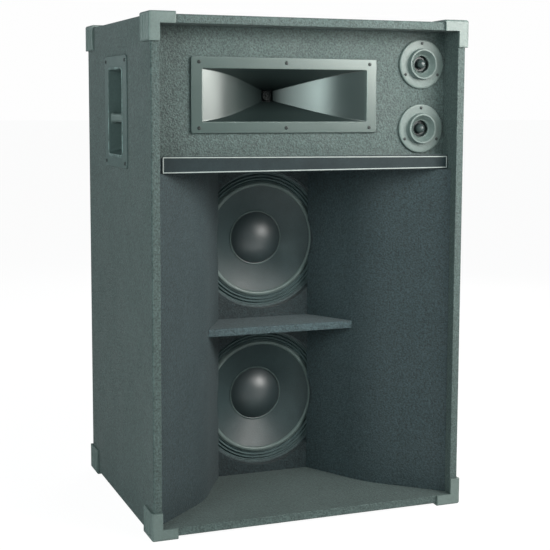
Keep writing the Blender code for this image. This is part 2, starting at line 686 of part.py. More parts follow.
def protector_shape():
    """The finished corner as a mesh: rounded block, ribs on the side leg, the cabinet and the mouth cut away."""
    block = add_protector_helper("protector_block", protector_mesh())
    ribs = bmesh.new()
    for y in PROTECTOR_RIBS:
        move = Matrix.Translation((FOOT, y, -PROTECTOR_REACH[2] / 2))
        size = Matrix.Diagonal((RIB_RADIUS, RIB_RADIUS, PROTECTOR_REACH[2] * RIB_SHARE, 1.0))
        turn = Matrix.Rotation(math.pi / 4, 4, "Z")
        bmesh.ops.create_cube(ribs, size=1.0, matrix=move @ turn @ size)
    inner = bmesh.new()
    add_box_faces(inner, (-BEYOND, GAP), (-BEYOND, GAP), (-BEYOND, GAP))
    mouth = bmesh.new()
    add_box_faces(mouth, (-BEYOND, -RIM_BAND), (GAP / 2, BEYOND), (-BEYOND, -RIM_BAND))
    steps = (("ribs", ribs, "UNION"), ("cabinet", inner, "DIFFERENCE"), ("mouth", mouth, "DIFFERENCE"))
    for step_name, bm, operation in steps:
        boolean = block.modifiers.new(step_name, "BOOLEAN")
        boolean.operation = operation
        boolean.object = add_protector_helper(f"protector_{step_name}", bm)
        boolean.solver = "EXACT"
    bpy.context.view_layer.update()
    graph = bpy.context.evaluated_depsgraph_get()
    return bpy.data.meshes.new_from_object(block.evaluated_get(graph))


def build_protectors():
    shape = protector_shape()
    for vertical, sign_z, z in (("top", 1, up(BODY_HEIGHT)), ("bottom", -1, up(0.0))):
        for end, sign_y, depth in (("front", -1, 0.0), ("rear", 1, BODY_DEPTH)):
            for side, sign_x in (("left", -1), ("right", 1)):
                bm = bmesh.new()
                bm.from_mesh(shape)
                bmesh.ops.scale(bm, vec=(sign_x, sign_y, sign_z), verts=bm.verts)
                corner = (sign_x * HALF_WIDTH, front(depth), z)
                bmesh.ops.translate(bm, verts=bm.verts, vec=corner)
                add_object(f"corner_{vertical}_{end}_{side}", bm, "moulding", corner)


# Rear connections and what is inside


def terminal_depths():
    """Depths of the plate's outer face and of the pocket's floor."""
    face = REAR_PANEL_DEPTH + BAFFLE_THICKNESS + GAP + HANDLE_WALL * 0.6
    return face, face - TERMINAL_POCKET


def lever_hinge():
    """(depth, height) of the axis that both levers turn about."""
    floor = terminal_depths()[1]
    return floor + LEVER_BARREL + LEVER_FLOOR_GAP, TERMINAL_CENTRE[1] - LEVER_HINGE_DROP


def build_terminal_cup():
    face, floor = terminal_depths()
    plate_back = REAR_PANEL_DEPTH + BAFFLE_THICKNESS + GAP
    outside = tuple(h + HANDLE_WALL for h in TERMINAL_POCKET_HALF)
    inside_floor = tuple(h - 0.004 for h in TERMINAL_POCKET_HALF)
    outside_floor = tuple(h - 0.004 for h in outside)
    rings = [
        (outside_floor, floor - HANDLE_WALL), (outside, plate_back), (TERMINAL_PLATE_HALF, plate_back),
        (TERMINAL_PLATE_HALF, face), (TERMINAL_POCKET_HALF, face), (inside_floor, floor),
    ]
    loops = [facing_loop(TERMINAL_CENTRE, half, 0.005, depth, 2) for half, depth in rings]
    cup = loft("terminal_cup", loops, "black_plastic")
    through = (floor - 2 * HANDLE_WALL, floor + HANDLE_WALL)
    for side, x in zip(("left", "right"), JACK_X):
        hole = cylinder_cutter(JACK_BUSHING + GAP, x, TERMINAL_CENTRE[1], through, COARSE_STEPS)
        cut(cup, f"jack_hole_{side}", hole)
    hinge_depth, hinge_height = lever_hinge()
    for colour, x in zip(("red", "black"), LEVER_X):
        wire = cylinder_cutter(WIRE_HOLE, x, hinge_height - 0.011, through, PIN_STEPS)
        cut(cup, f"wire_hole_{colour}", wire)
        cheeks = bmesh.new()
        for side in (-1, 1):
            centre = x + side * (LEVER_HALF_WIDTH + GAP + CHEEK[0] / 2)
            x_range = (centre - CHEEK[0] / 2, centre + CHEEK[0] / 2)
            y_range = (front(floor - HANDLE_WALL / 2), front(floor + CHEEK[1]))
            z_range = (up(hinge_height - CHEEK[2] / 2), up(hinge_height + CHEEK[2] / 2))
            add_box_faces(cheeks, x_range, y_range, z_range)
        cut(cup, f"lever_cheeks_{colour}", cheeks, "UNION")
        socket = bmesh.new()
        half = LEVER_HALF_WIDTH + PIVOT_LENGTH + 2 * GAP
        add_cross_cylinder(socket, PIVOT_RADIUS + GAP, (x - half, x + half), hinge_depth, hinge_height)
        cut(cup, f"lever_socket_{colour}", socket)


def add_cross_cylinder(bm, radius, x, depth, height):
    """A closed cylinder along x."""
    place = Matrix.Translation((middle(x), front(depth), up(height))) @ Matrix.Rotation(math.pi / 2, 4, "Y")
    bmesh.ops.create_cone(bm, cap_ends=True, segments=PIN_STEPS, radius1=radius, radius2=radius,
                          depth=x[1] - x[0], matrix=place)


def build_jacks():
    floor = terminal_depths()[1]
    for side, x in zip(("left", "right"), JACK_X):
        behind = floor - HANDLE_WALL - GAP
        socket = [
            (JACK_BORE, floor + 0.0090), (0.0062, floor + 0.0090), (0.0066, floor + 0.0082),
            (0.0066, floor + 0.0034), (0.0092, floor + 0.0030), (0.0092, floor + GAP),
            (JACK_BUSHING, floor + GAP), (JACK_BUSHING, behind), (0.0100, behind),
            (0.0100, behind - JACK_LENGTH), (0.0, behind - JACK_LENGTH), (0.0, behind - JACK_LENGTH + 0.002),
            (JACK_BORE, behind - JACK_LENGTH + 0.002),
        ]
        spin_solid(f"jack_socket_{side}", socket, x, TERMINAL_CENTRE[1], "zinc", COARSE_STEPS)


def build_lever(colour, x):
    """A push-terminal lever. It turns about the pivots on its lower barrel, and leans out at rest."""
    hinge_depth, hinge_height = lever_hinge()
    barrel = [(LEVER_BARREL * math.cos(a), LEVER_BARREL * math.sin(a))
              for a in (math.radians(200 + 20 * i) for i in range(8))]
    along = Vector((math.sin(LEVER_LEAN), math.cos(LEVER_LEAN)))
    outward = Vector((math.cos(LEVER_LEAN), -math.sin(LEVER_LEAN)))
    back = outward * (LEVER_BARREL - LEVER_THICKNESS)
    tip = [along * LEVER_LENGTH + outward * LEVER_BARREL, along * LEVER_LENGTH + back]
    outline = barrel + [tuple(point) for point in (*tip, back)]
    loops = [[(x + side * LEVER_HALF_WIDTH, front(hinge_depth + d), up(hinge_height + h)) for d, h in outline]
             for side in (-1, 1)]
    lever = loft(f"terminal_lever_{colour}", loops, f"{colour}_plastic", True,
                 (x, front(hinge_depth), up(hinge_height)))
    pivots = bmesh.new()
    half = LEVER_HALF_WIDTH + PIVOT_LENGTH
    add_cross_cylinder(pivots, PIVOT_RADIUS, (x - half, x + half), hinge_depth, hinge_height)
    cut(lever, f"pivots_{colour}", pivots, "UNION")


def build_terminals():
    build_terminal_cup()
    build_jacks()
    for colour, x in zip(("red", "black"), LEVER_X):
        build_lever(colour, x)


def build_inside():
    back = REAR_PANEL_DEPTH - GAP
    circuit = (back - CROSSOVER_THICKNESS, back)
    board("crossover_board", CROSSOVER_X, circuit, CROSSOVER_HEIGHT, "circuit_board")
    face = circuit[0] - GAP
    coil = [(0.008, face - 0.020), (0.022, face - 0.020), (0.022, face), (0.008, face)]
    spin_solid("crossover_coil", coil, middle(CROSSOVER_X), middle(CROSSOVER_HEIGHT), "copper", COARSE_STEPS)
    blanket_x = (-BLANKET_HALF_WIDTH, BLANKET_HALF_WIDTH)
    board("damping_blanket", blanket_x, (back - BLANKET_THICKNESS, back), BLANKET_HEIGHT, "wadding")


def main():
    for old in list(bpy.data.objects):
        bpy.data.objects.remove(old, do_unlink=True)
    build_sleeve()
    build_rear()
    build_upper_compartment()
    build_mouth()
    build_horn()
    for name, height in TWEETERS:
        build_tweeter(name, height)
    for name, height in WOOFERS:
        build_woofer(name, height)
    for side, sign in (("left", -1), ("right", 1)):
        build_handle(side, sign)
    build_protectors()
    build_terminals()
    build_inside()


main()
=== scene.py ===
"""Looks of the PA speaker cabinet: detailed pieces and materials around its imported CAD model."""

import json
import math

import bmesh
import bpy
from mathutils import Matrix, Vector


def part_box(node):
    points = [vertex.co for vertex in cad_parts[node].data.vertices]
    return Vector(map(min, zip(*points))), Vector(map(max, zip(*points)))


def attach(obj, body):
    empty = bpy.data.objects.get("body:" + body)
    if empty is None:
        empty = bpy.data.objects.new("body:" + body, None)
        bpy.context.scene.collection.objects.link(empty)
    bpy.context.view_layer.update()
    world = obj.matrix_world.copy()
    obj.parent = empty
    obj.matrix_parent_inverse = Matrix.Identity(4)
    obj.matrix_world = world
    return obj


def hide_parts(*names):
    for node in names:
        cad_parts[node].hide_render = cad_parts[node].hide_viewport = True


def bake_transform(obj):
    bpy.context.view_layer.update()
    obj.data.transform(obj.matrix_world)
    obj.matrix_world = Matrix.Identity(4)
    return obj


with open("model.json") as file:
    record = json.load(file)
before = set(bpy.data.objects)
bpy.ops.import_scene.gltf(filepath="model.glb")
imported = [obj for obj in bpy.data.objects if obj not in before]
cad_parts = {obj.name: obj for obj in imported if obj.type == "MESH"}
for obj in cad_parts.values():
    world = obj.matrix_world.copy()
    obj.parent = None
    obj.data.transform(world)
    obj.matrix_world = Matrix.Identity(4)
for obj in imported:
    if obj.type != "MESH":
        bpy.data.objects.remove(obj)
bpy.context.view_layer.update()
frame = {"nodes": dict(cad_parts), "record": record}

# The camera: where it stands, where it looks, and its lens.
CAMERA_PLACE = (-0.93875, -2.47459, 0.83790)
CAMERA_YAW = math.radians(21.137)
CAMERA_PITCH = math.radians(6.205)
CAMERA_ROLL = math.radians(0.211)
CAMERA_LENS = 80.2
CAMERA_SHIFT = -0.0674

# Shapes that the boxes of the CAD nodes don't give, in metres.
GAP = 0.0003
ROUND_STEPS = 144
COVER_RADIUS = 0.0035
COVER_INNER_RADIUS = 0.0012
COVER_CORNER_RADIUS = 0.0040
FLARE_BOARD = 0.012
FLARE_BEND_RADIUS = 0.25
FLARE_RELIEF = 0.112
# How much the strip's lower and upper edges move at its (left, right) end.
STRIP_TAPER = ((-0.0010, 0.0010), (0.0030, -0.0017))
HORN_MOUTH_HALF = (0.1740, 0.0512)
HORN_MOUTH_RADIUS = 0.0014
HORN_THROAT_HALF = (0.0125, 0.0115)
HORN_LENGTH = 0.107
HORN_WALL = 0.003
HORN_STRAIGHT_FLARE = 0.128
HORN_LIP_POWER = 6
HORN_SECTIONS = 36
HORN_SCREW_INSET = (0.0158, 0.0103)
FLANGE_THICKNESS = 0.005
TWEETER_BODY_RADIUS = 0.040
TWEETER_MAGNET_RADIUS = 0.038
TWEETER_SCREW_CIRCLE = 0.0425
GASKET_INNER = 0.1466
GASKET_RIM = 0.1570
CONE_EDGE = 0.1268
CONE_LIP = 0.0100
CAP_RADIUS = 0.0575
CAP_RISE = 0.0255
CAP_DEPTH = 0.0350
PLEATS = 3
PLEAT_HEIGHT = 0.0022
SURROUND_WEDGES = 12
HANDLE_SCREW_INSET = (0.0122, 0.0105)
PROTECTOR_RIBS = (0.862, 0.600, 0.338)
PROTECTOR_RIB_RADIUS = 0.0026
REAR_SCREW_INSET = 0.018
TERMINAL_SCREW_INSET = 0.0052
HORN_SCREW, TWEETER_SCREW, HANDLE_SCREW, REAR_SCREW, TERMINAL_SCREW = 0.0036, 0.0031, 0.0038, 0.0042, 0.0028

# Light colours, and how much of the floor the camera sees as plain white.
WARM = (0.98, 0.96, 0.925)
COOL = (0.87, 1.0, 0.985)
NEUTRAL = (0.93, 0.97, 0.95)
FLOOR_GLOW = 0.88
FLOOR_WHITE = 1.09


# Meshes


def circle(radius, count, start=0.0):
    """Points round a circle about its centre, from a start angle in radians."""
    angles = (start + 2 * math.pi * i / count for i in range(count))
    return [(radius * math.cos(a), radius * math.sin(a)) for a in angles]


def rounded_rectangle(half, radius, corner_steps):
    """Points round a rectangle with rounded corners, about its centre."""
    points = []
    for corner in range(4):
        sign_a = (1, -1, -1, 1)[corner]
        sign_b = (1, 1, -1, -1)[corner]
        for step in range(corner_steps + 1):
            angle = math.pi / 2 * (corner + step / corner_steps)
            across = sign_a * (half[0] - radius) + radius * math.cos(angle)
            along = sign_b * (half[1] - radius) + radius * math.sin(angle)
            points.append((across, along))
    return points


def rounded_path(corners, steps=4):
    """A closed outline through (a, b, radius) corners, each rounded by an arc of its radius."""
    points = []
    count = len(corners)
    for i, (a, b, radius) in enumerate(corners):
        corner = Vector((a, b))
        before = Vector(corners[i - 1][:2]) - corner
        after = Vector(corners[(i + 1) % count][:2]) - corner
        half_angle = before.angle(after) / 2
        if radius == 0 or half_angle > math.radians(89):
            points.append((a, b))
            continue
        reach = min(radius / math.tan(half_angle), before.length * 0.49, after.length * 0.49)
        radius = reach * math.tan(half_angle)
        before.normalize()
        after.normalize()
        centre = corner + (before + after).normalized() * (radius / math.sin(half_angle))
        first = corner + before * reach - centre
        turn = -first.angle_signed(corner + after * reach - centre)
        for step in range(steps + 1):
            points.append(tuple(centre + Matrix.Rotation(turn * step / steps, 2) @ first))
    return points


def bridge(bm, first, second):
    """Faces between two rings with the same number of vertices."""
    for i in range(len(first)):
        j = (i + 1) % len(first)
        bm.faces.new((first[i], first[j], second[j], second[i]))


def lofted(loops, capped=True):
    """A bmesh through closed loops of points: capped at both ends, or closed round on itself."""
    bm = bmesh.new()
    rings = [[bm.verts.new(point) for point in loop] for loop in loops]
    for first, second in zip(rings, rings[1:]):
        bridge(bm, first, second)
    if capped:
        bm.faces.new(rings[0])
        bm.faces.new(rings[-1])
    else:
        bridge(bm, rings[-1], rings[0])
    return bm


def lathed(profile, x, z, steps=ROUND_STEPS):
    """The solid that a closed (radius, y) profile sweeps round an axis along y through (x, z)."""
    bm = bmesh.new()
    rings = []
    for radius, y in profile:
        if radius < 1e-7:
            rings.append([bm.verts.new((x, y, z))])
            continue
        rings.append([bm.verts.new((x + a, y, z + b)) for a, b in circle(radius, steps)])
    for first, second in zip(rings, rings[1:] + rings[:1]):
        if len(first) > 1 and len(second) > 1:
            bridge(bm, first, second)
        elif len(first) != len(second):
            pole, ring = sorted((first, second), key=len)
            for i in range(steps):
                bm.faces.new((pole[0], ring[i], ring[(i + 1) % steps]))
    return bm


def box_mesh(low, high):
    """A closed box between two corners."""
    bm = bmesh.new()
    low, high = Vector(low), Vector(high)
    place = Matrix.Translation((low + high) / 2) @ Matrix.Diagonal((*(high - low), 1.0))
    bmesh.ops.create_cube(bm, size=1.0, matrix=place)
    return bm


def combined(target, tool, operation):
    """The target with the tool cut away (DIFFERENCE) or joined on (UNION)."""
    holders = []
    for bm in (target, tool):
        bmesh.ops.recalc_face_normals(bm, faces=bm.faces)
        mesh = bpy.data.meshes.new("holder")
        bm.to_mesh(mesh)
        bm.free()
        holder = bpy.data.objects.new("holder", mesh)
        bpy.context.scene.collection.objects.link(holder)
        holders.append(holder)
    boolean = holders[0].modifiers.new("combine", "BOOLEAN")
    boolean.operation = operation
    boolean.object = holders[1]
    boolean.solver = "EXACT"
    bpy.context.view_layer.update()
    graph = bpy.context.evaluated_depsgraph_get()
    result = bmesh.new()
    made = bpy.data.meshes.new_from_object(holders[0].evaluated_get(graph))
    result.from_mesh(made)
    bpy.data.meshes.remove(made)
    for holder in holders:
        mesh = holder.data
        bpy.data.objects.remove(holder)
        bpy.data.meshes.remove(mesh)
    return result


def piece(name, bm, finish, replaces=(), body="cabinet", sharp=32, even=True):
    """An object of the model with a finish, riding on a body. The finish's name is the material slot."""
    bmesh.ops.recalc_face_normals(bm, faces=bm.faces)
    mesh = bpy.data.meshes.new(name)
    bm.to_mesh(mesh)
    bm.free()
    mesh.shade_smooth()
    mesh.set_sharp_from_angle(angle=math.radians(sharp))
    made = bpy.data.objects.new(name, mesh)
    bpy.context.scene.collection.objects.link(made)
    if even:
        weighted = made.modifiers.new("even shading", "WEIGHTED_NORMAL")
        weighted.keep_sharp = True
    mesh.materials.append(finish_material(finish))
    if replaces:
        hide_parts(*replaces)
    if body:
        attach(made, body)
    return made


# Materials. Texture scales are in cycles per metre and bump heights in metres.


def add(tree, kind, inputs=None, **settings):
    """A node with its settings and inputs. An input that is a socket is linked, and any other is set."""
    made = tree.nodes.new(kind)
    for key, value in settings.items():
        setattr(made, key, value)
    for key, value in (inputs or {}).items():
        if isinstance(value, bpy.types.NodeSocket):
            tree.links.new(value, made.inputs[key])
        else:
            made.inputs[key].default_value = value
    return made


def places(tree, stretch=(1.0, 1.0, 1.0)):
    """The object's own coordinates, in metres, stretched along each axis."""
    where = add(tree, "ShaderNodeTexCoord").outputs["Object"]
    if stretch == (1.0, 1.0, 1.0):
        return where
    return add(tree, "ShaderNodeMapping", {"Vector": where, "Scale": stretch}).outputs["Vector"]


def noise(tree, where, scale, detail=2.0):
    inputs = {"Vector": where, "Scale": scale, "Detail": detail}
    return add(tree, "ShaderNodeTexNoise", inputs).outputs["Fac"]


def cells(tree, where, scale):
    inputs = {"Vector": where, "Scale": scale}
    return add(tree, "ShaderNodeTexVoronoi", inputs, feature="SMOOTH_F1").outputs["Distance"]


def calc(tree, operation, first, second):
    return add(tree, "ShaderNodeMath", {0: first, 1: second}, operation=operation).outputs[0]


def remap(tree, value, source, target):
    inputs = {"Value": value, "From Min": source[0], "From Max": source[1],
              "To Min": target[0], "To Max": target[1]}
    return add(tree, "ShaderNodeMapRange", inputs).outputs["Result"]


def mix(tree, share, first, second):
    """A colour between two, which are colours or sockets."""
    inputs = {0: share}
    for key, colour in ((6, first), (7, second)):
        inputs[key] = colour if isinstance(colour, bpy.types.NodeSocket) else (*colour, 1.0)
    return add(tree, "ShaderNodeMix", inputs, data_type="RGBA").outputs[2]


def shade(colour, factor):
    return tuple(min(1.0, c * factor) for c in colour)


def raised(tree, shader, height, distance):
    """Adds a bump over whatever already bends the shader's normal."""
    inputs = {"Height": height, "Distance": distance, "Strength": 1.0}
    if shader.inputs["Normal"].links:
        inputs["Normal"] = shader.inputs["Normal"].links[0].from_socket
    bump = add(tree, "ShaderNodeBump", inputs)
    tree.links.new(bump.outputs["Normal"], shader.inputs["Normal"])


def surface(name, colour, roughness, metallic=0.0, mottle=((40.0, 0.1),), grain=(), spread=0.05,
            stretch=(1.0, 1.0, 1.0), wear_and_highlight=0.0, uniform=None):
    """A finish: mottle holds (scale, share) of colour change, grain (kind, scale, height) of bump."""
    made = bpy.data.materials.new(name)
    made.use_nodes = True
    tree = made.node_tree
    shader = tree.nodes["Principled BSDF"]
    shader.inputs["Metallic"].default_value = metallic
    for socket, value in (uniform or {}).items():
        shader.inputs[socket].default_value = value
    where = places(tree, stretch)
    base = (*colour, 1.0)
    shader.inputs["Base Color"].default_value = base
    for scale, share in mottle:
        patches = remap(tree, noise(tree, where, scale, 3.0), (0.3, 0.7), (0.0, 1.0))
        if shader.inputs["Base Color"].links:
            earlier = shader.inputs["Base Color"].links[0].from_socket
            grey = mix(tree, patches, (1 - share,) * 3, (1 + share,) * 3)
            varied = add(tree, "ShaderNodeMix", {0: 1.0, 6: earlier, 7: grey}, data_type="RGBA",
                         blend_type="MULTIPLY")
            tree.links.new(varied.outputs[2], shader.inputs["Base Color"])
        else:
            tree.links.new(mix(tree, patches, shade(colour, 1 - share), shade(colour, 1 + share)),
                           shader.inputs["Base Color"])
    # Lighter marked edges: wear on the covering and mouldings, and a painted highlight on the handle lips.
    if wear_and_highlight:
        edge = add(tree, "ShaderNodeAttribute", attribute_name="edge").outputs["Fac"]
        scuffs = remap(tree, noise(tree, where, 60.0, 4.0), (0.42, 0.62), (0.0, wear_and_highlight))
        rubbed_and_lit = calc(tree, "MULTIPLY", edge, scuffs)
        earlier = shader.inputs["Base Color"].links[0].from_socket
        tree.links.new(mix(tree, rubbed_and_lit, earlier, shade(colour, 2.4)), shader.inputs["Base Color"])
    smudges = noise(tree, where, 14.0, 4.0)
    varying = remap(tree, smudges, (0.3, 0.7), (roughness - spread, roughness + spread))
    tree.links.new(varying, shader.inputs["Roughness"])
    for kind, scale, height in grain:
        pattern = {"noise": noise, "cells": cells}[kind](tree, where, scale)
        raised(tree, shader, pattern, height)
    return made


def woven(name, colour, roughness, threads, height):
    """Cloth with threads as bands across the object's x and z."""
    made = surface(name, colour, roughness, mottle=((60.0, 0.12), (500.0, 0.15)),
                   grain=(("noise", 900.0, 0.0001),))
    tree = made.node_tree
    shader = tree.nodes["Principled BSDF"]
    where = places(tree)
    for direction in ("X", "Z"):
        wave = add(tree, "ShaderNodeTexWave", {"Vector": where, "Scale": threads / 2, "Distortion": 0.6},
                   wave_type="BANDS", bands_direction=direction)
        raised(tree, shader, wave.outputs["Fac"], height)
    return made


def plywood(name):
    """Bare board: pale veneer with long grain, and its plies on the edges."""
    made = surface(name, (0.43, 0.30, 0.17), 0.75, mottle=((9.0, 0.18), (60.0, 0.10)),
                   stretch=(0.15, 1.0, 1.0), grain=(("noise", 180.0, 0.00015),))
    tree = made.node_tree
    shader = tree.nodes["Principled BSDF"]
    plies = add(tree, "ShaderNodeTexWave", {"Vector": places(tree), "Scale": 105.0, "Distortion": 0.4},
                bands_direction="Z").outputs["Fac"]
    earlier = shader.inputs["Base Color"].links[0].from_socket
    layered = mix(tree, calc(tree, "MULTIPLY", plies, 0.35), earlier, (0.22, 0.13, 0.06))
    tree.links.new(layered, shader.inputs["Base Color"])
    return made


def covering(name, colour, wear_and_highlight=0.22):
    """Pebbled covering glued over board."""
    return surface(name, colour, 0.62, mottle=((7.0, 0.04), (110.0, 0.10), (270.0, 0.46)), wear_and_highlight=wear_and_highlight,
                   grain=(("noise", 270.0, 0.0014), ("cells", 470.0, 0.0006)), spread=0.07,
                   uniform={"Specular IOR Level": 0.45, "Sheen Weight": 0.10, "Sheen Roughness": 0.5})


def moulding(name, colour, roughness, grain_height=0.00022, wear_and_highlight=0.25):
    """Moulded plastic with a fine leather grain and lighter marked edges: light handling marks, and on the
    handle lips a painted highlight.
    """
    return surface(name, colour, roughness, mottle=((25.0, 0.06), (260.0, 0.08)), wear_and_highlight=wear_and_highlight,
                   grain=(("cells", 900.0, grain_height), ("noise", 420.0, grain_height / 2)), spread=0.05)


def horn_plastic(name):
    """Satin plastic on the flange, and glossier plastic inside whose colour is painted darker as shade,
    darkening further with fading gloss towards the throat as painted shade.
    """
    flange_colour = (0.055, 0.082, 0.076)
    inside_shade_colour = (0.018, 0.029, 0.028)
    throat_shade_colour = (0.008, 0.012, 0.012)
    flange_gloss, inner_gloss, throat_shade_gloss = 0.46, 0.60, 0.06
    made = surface(name, flange_colour, 0.31, mottle=((18.0, 0.05), (300.0, 0.05)), spread=0.02,
                   grain=(("noise", 700.0, 0.00003),),
                   uniform={"IOR": 1.85, "Specular Tint": (0.92, 1.0, 0.97, 1.0)})
    tree = made.node_tree
    shader = tree.nodes["Principled BSDF"]
    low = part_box("horn_flare")[0]
    depth = add(tree, "ShaderNodeSeparateXYZ", {0: places(tree)}).outputs[1]
    # Inside the horn the colour is painted darker than the flange, as painted shade.
    inside = remap(tree, depth, (low.y + 0.0005, low.y + 0.0030), (0.0, 1.0))
    # Painted shade: towards the throat the colour darkens and the gloss fades.
    fade = (low.y + HORN_LENGTH * 0.42, low.y + HORN_LENGTH)
    throat_shading = remap(tree, depth, fade, (1.0, throat_shade_gloss))
    gloss = remap(tree, inside, (0.0, 1.0), (flange_gloss, inner_gloss))
    tree.links.new(calc(tree, "MULTIPLY", gloss, throat_shading), shader.inputs["Specular IOR Level"])
    outer = shader.inputs["Base Color"].links[0].from_socket
    inner = mix(tree, throat_shading, throat_shade_colour, inside_shade_colour)
    tree.links.new(mix(tree, inside, outer, inner), shader.inputs["Base Color"])
    return made


# Colours, as linear values.
COVER_GREY = (0.066, 0.096, 0.091)
BAFFLE_GREY = (0.030, 0.049, 0.054)
PLASTIC_GREY = (0.140, 0.184, 0.172)

# The finishes, each with its colour and roughness first.
FINISHES = {
    "covering": lambda n: covering(n, COVER_GREY),
    "baffle_covering": lambda n: covering(n, BAFFLE_GREY, 0.0),
    # A lighter copy of the mouth's covering, as painted light on the divider shelf.
    "shelf_covering_painted_light": lambda n: covering(n, shade(BAFFLE_GREY, 1.65), 0.0),
    # A darker copy of the mouth's covering, as painted shade on the boards deep in the mouth.
    "shade_painted_covering": lambda n: covering(n, shade(BAFFLE_GREY, 0.78), 0.0),
    "moulding": lambda n: moulding(n, PLASTIC_GREY, 0.40),
    "black_moulding": lambda n: moulding(n, (0.084, 0.120, 0.116), 0.42),
    # The handle plastic's strong edge lightening is a painted highlight on the lips round the openings.
    "handle_plastic_painted_highlight": lambda n: moulding(n, (0.088, 0.126, 0.120), 0.42, wear_and_highlight=0.85),
    "horn_plastic": horn_plastic,
    "bullet_plastic": lambda n: moulding(n, (0.046, 0.067, 0.066), 0.30, 0.00005),
    "strip": lambda n: surface(n, (0.016, 0.027, 0.030), 0.55, mottle=((30.0, 0.15), (300.0, 0.1)),
                               spread=0.06, grain=(("noise", 300.0, 0.00005),),
                               uniform={"Specular IOR Level": 0.25}),
    "strip_border": lambda n: surface(n, (0.36, 0.40, 0.385), 0.45, mottle=((90.0, 0.06),),
                                      grain=(("noise", 400.0, 0.00005),)),
    "paper": lambda n: surface(n, (0.042, 0.067, 0.070), 0.45, mottle=((35.0, 0.10), (700.0, 0.18)),
                               grain=(("noise", 260.0, 0.00025), ("noise", 900.0, 0.00012)), spread=0.05,
                               uniform={"Specular IOR Level": 0.52}),
    "cap_paper": lambda n: surface(n, (0.034, 0.054, 0.058), 0.45, mottle=((40.0, 0.10), (600.0, 0.12)),
                                   grain=(("noise", 500.0, 0.00010),), spread=0.03,
                                   uniform={"Specular IOR Level": 1.0, "IOR": 1.65}),
    # The lip's paper is lighter than the cone's, as a painted highlight.
    "lip_paper_painted_highlight": lambda n: surface(n, (0.150, 0.200, 0.190), 0.36, mottle=((50.0, 0.10), (500.0, 0.12)),
                                   grain=(("noise", 600.0, 0.0001),)),
    "glue": lambda n: surface(n, (0.110, 0.155, 0.150), 0.55, mottle=((60.0, 0.2), (500.0, 0.1)),
                              grain=(("noise", 300.0, 0.0004),), uniform={"Specular IOR Level": 0.2}),
    # The tweeter's diaphragm is painted dark, as painted shade inside the tweeter's throat.
    "throat_painted_shade": lambda n: surface(n, (0.028, 0.040, 0.040), 0.4, mottle=((200.0, 0.2),),
                                     grain=(("noise", 500.0, 0.0001),)),
    # The phase plug is painted nearly black, as painted shade deep in the horn's throat.
    "plug_painted_shade": lambda n: surface(n, (0.008, 0.011, 0.011), 0.7, mottle=((200.0, 0.2),),
                                   grain=(("noise", 500.0, 0.0001),), uniform={"Specular IOR Level": 0.2}),
    "cloth": lambda n: woven(n, (0.094, 0.140, 0.142), 0.50, 900.0, 0.00012),
    "spider_cloth": lambda n: woven(n, (0.40, 0.25, 0.08), 0.80, 700.0, 0.0002),
    "cork": lambda n: surface(n, (0.080, 0.113, 0.116), 0.6, mottle=((300.0, 0.3),),
                              grain=(("noise", 700.0, 0.0003),)),
    "basket_steel": lambda n: surface(n, (0.040, 0.042, 0.045), 0.42, 0.3, mottle=((50.0, 0.1),),
                                      grain=(("cells", 700.0, 0.0001),)),
    "ferrite": lambda n: surface(n, (0.045, 0.045, 0.050), 0.6, 0.1, mottle=((200.0, 0.2),),
                                 grain=(("noise", 500.0, 0.0002),)),
    "zinc": lambda n: surface(n, (0.50, 0.51, 0.52), 0.30, 1.0, mottle=((200.0, 0.12),),
                              stretch=(1.0, 6.0, 1.0), grain=(("noise", 900.0, 0.00004),)),
    "dark_screw": lambda n: surface(n, (0.050, 0.058, 0.057), 0.38, 0.5, mottle=((300.0, 0.2),),
                                    grain=(("noise", 1200.0, 0.00004),)),
    "board_wood": plywood,
    "circuit_board": lambda n: surface(n, (0.03, 0.13, 0.05), 0.4, mottle=((120.0, 0.25),),
                                       grain=(("cells", 300.0, 0.0001),)),
    "copper": lambda n: surface(n, (0.60, 0.24, 0.10), 0.35, 0.9, mottle=((200.0, 0.2),),
                                stretch=(1.0, 8.0, 1.0), grain=(("noise", 500.0, 0.0002),)),
    "wadding": lambda n: surface(n, (0.70, 0.69, 0.65), 1.0, mottle=((30.0, 0.08),),
                                 grain=(("noise", 120.0, 0.003), ("noise", 600.0, 0.001))),
    "red_plastic": lambda n: moulding(n, (0.40, 0.02, 0.018), 0.30, 0.00006),
    "black_plastic": lambda n: moulding(n, (0.016, 0.018, 0.018), 0.34, 0.00012),
}
# The boards deep in the mouth, whose covering is painted darker as shade.
SHADE_PAINTED_BOARDS = ("woofer_baffle", "mouth_roof")
made_materials = {}


def finish_material(finish):
    """The material of a finish, made the first time it is asked for."""
    if finish not in made_materials:
        made_materials[finish] = FINISHES[finish](finish)
    return made_materials[finish]


def dress_cad_nodes():
    """Every CAD node takes the procedural finish of its slot; the boards deep in the mouth take a covering
    painted darker as shade.
    """
    slots = {part["node"]: part["material_slot"] for part in frame["record"]["subparts"]}
    for name, node in frame["nodes"].items():
        finish = "shade_painted_covering" if name in SHADE_PAINTED_BOARDS else slots[name]
        node.data.materials.clear()
        node.data.materials.append(finish_material(finish))


# The covered sleeve


def mark_edges(mesh, is_edge):
    """Fills the attribute that the lighter edges of a finish read: wear, and on the handle lips a painted
    highlight.
    """
    attribute = mesh.attributes.new("edge", "FLOAT", "POINT")
    for vertex, value in zip(mesh.vertices, attribute.data):
        value.value = is_edge(vertex.co)


def handle_opening(side):
    """The y and z ranges of a handle's opening: the grip spans it, and the plate sits evenly round it."""
    grip_low, grip_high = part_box(f"{side}_handle_grip")
    plate_low, plate_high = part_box(f"{side}_handle_cup")
    end_gap, lower_rim, upper_rim = 0.0018, 0.0270, 0.0280
    across = (grip_low.y - end_gap, grip_high.y + end_gap)
    return across, (plate_low.z + lower_rim, plate_high.z - upper_rim)


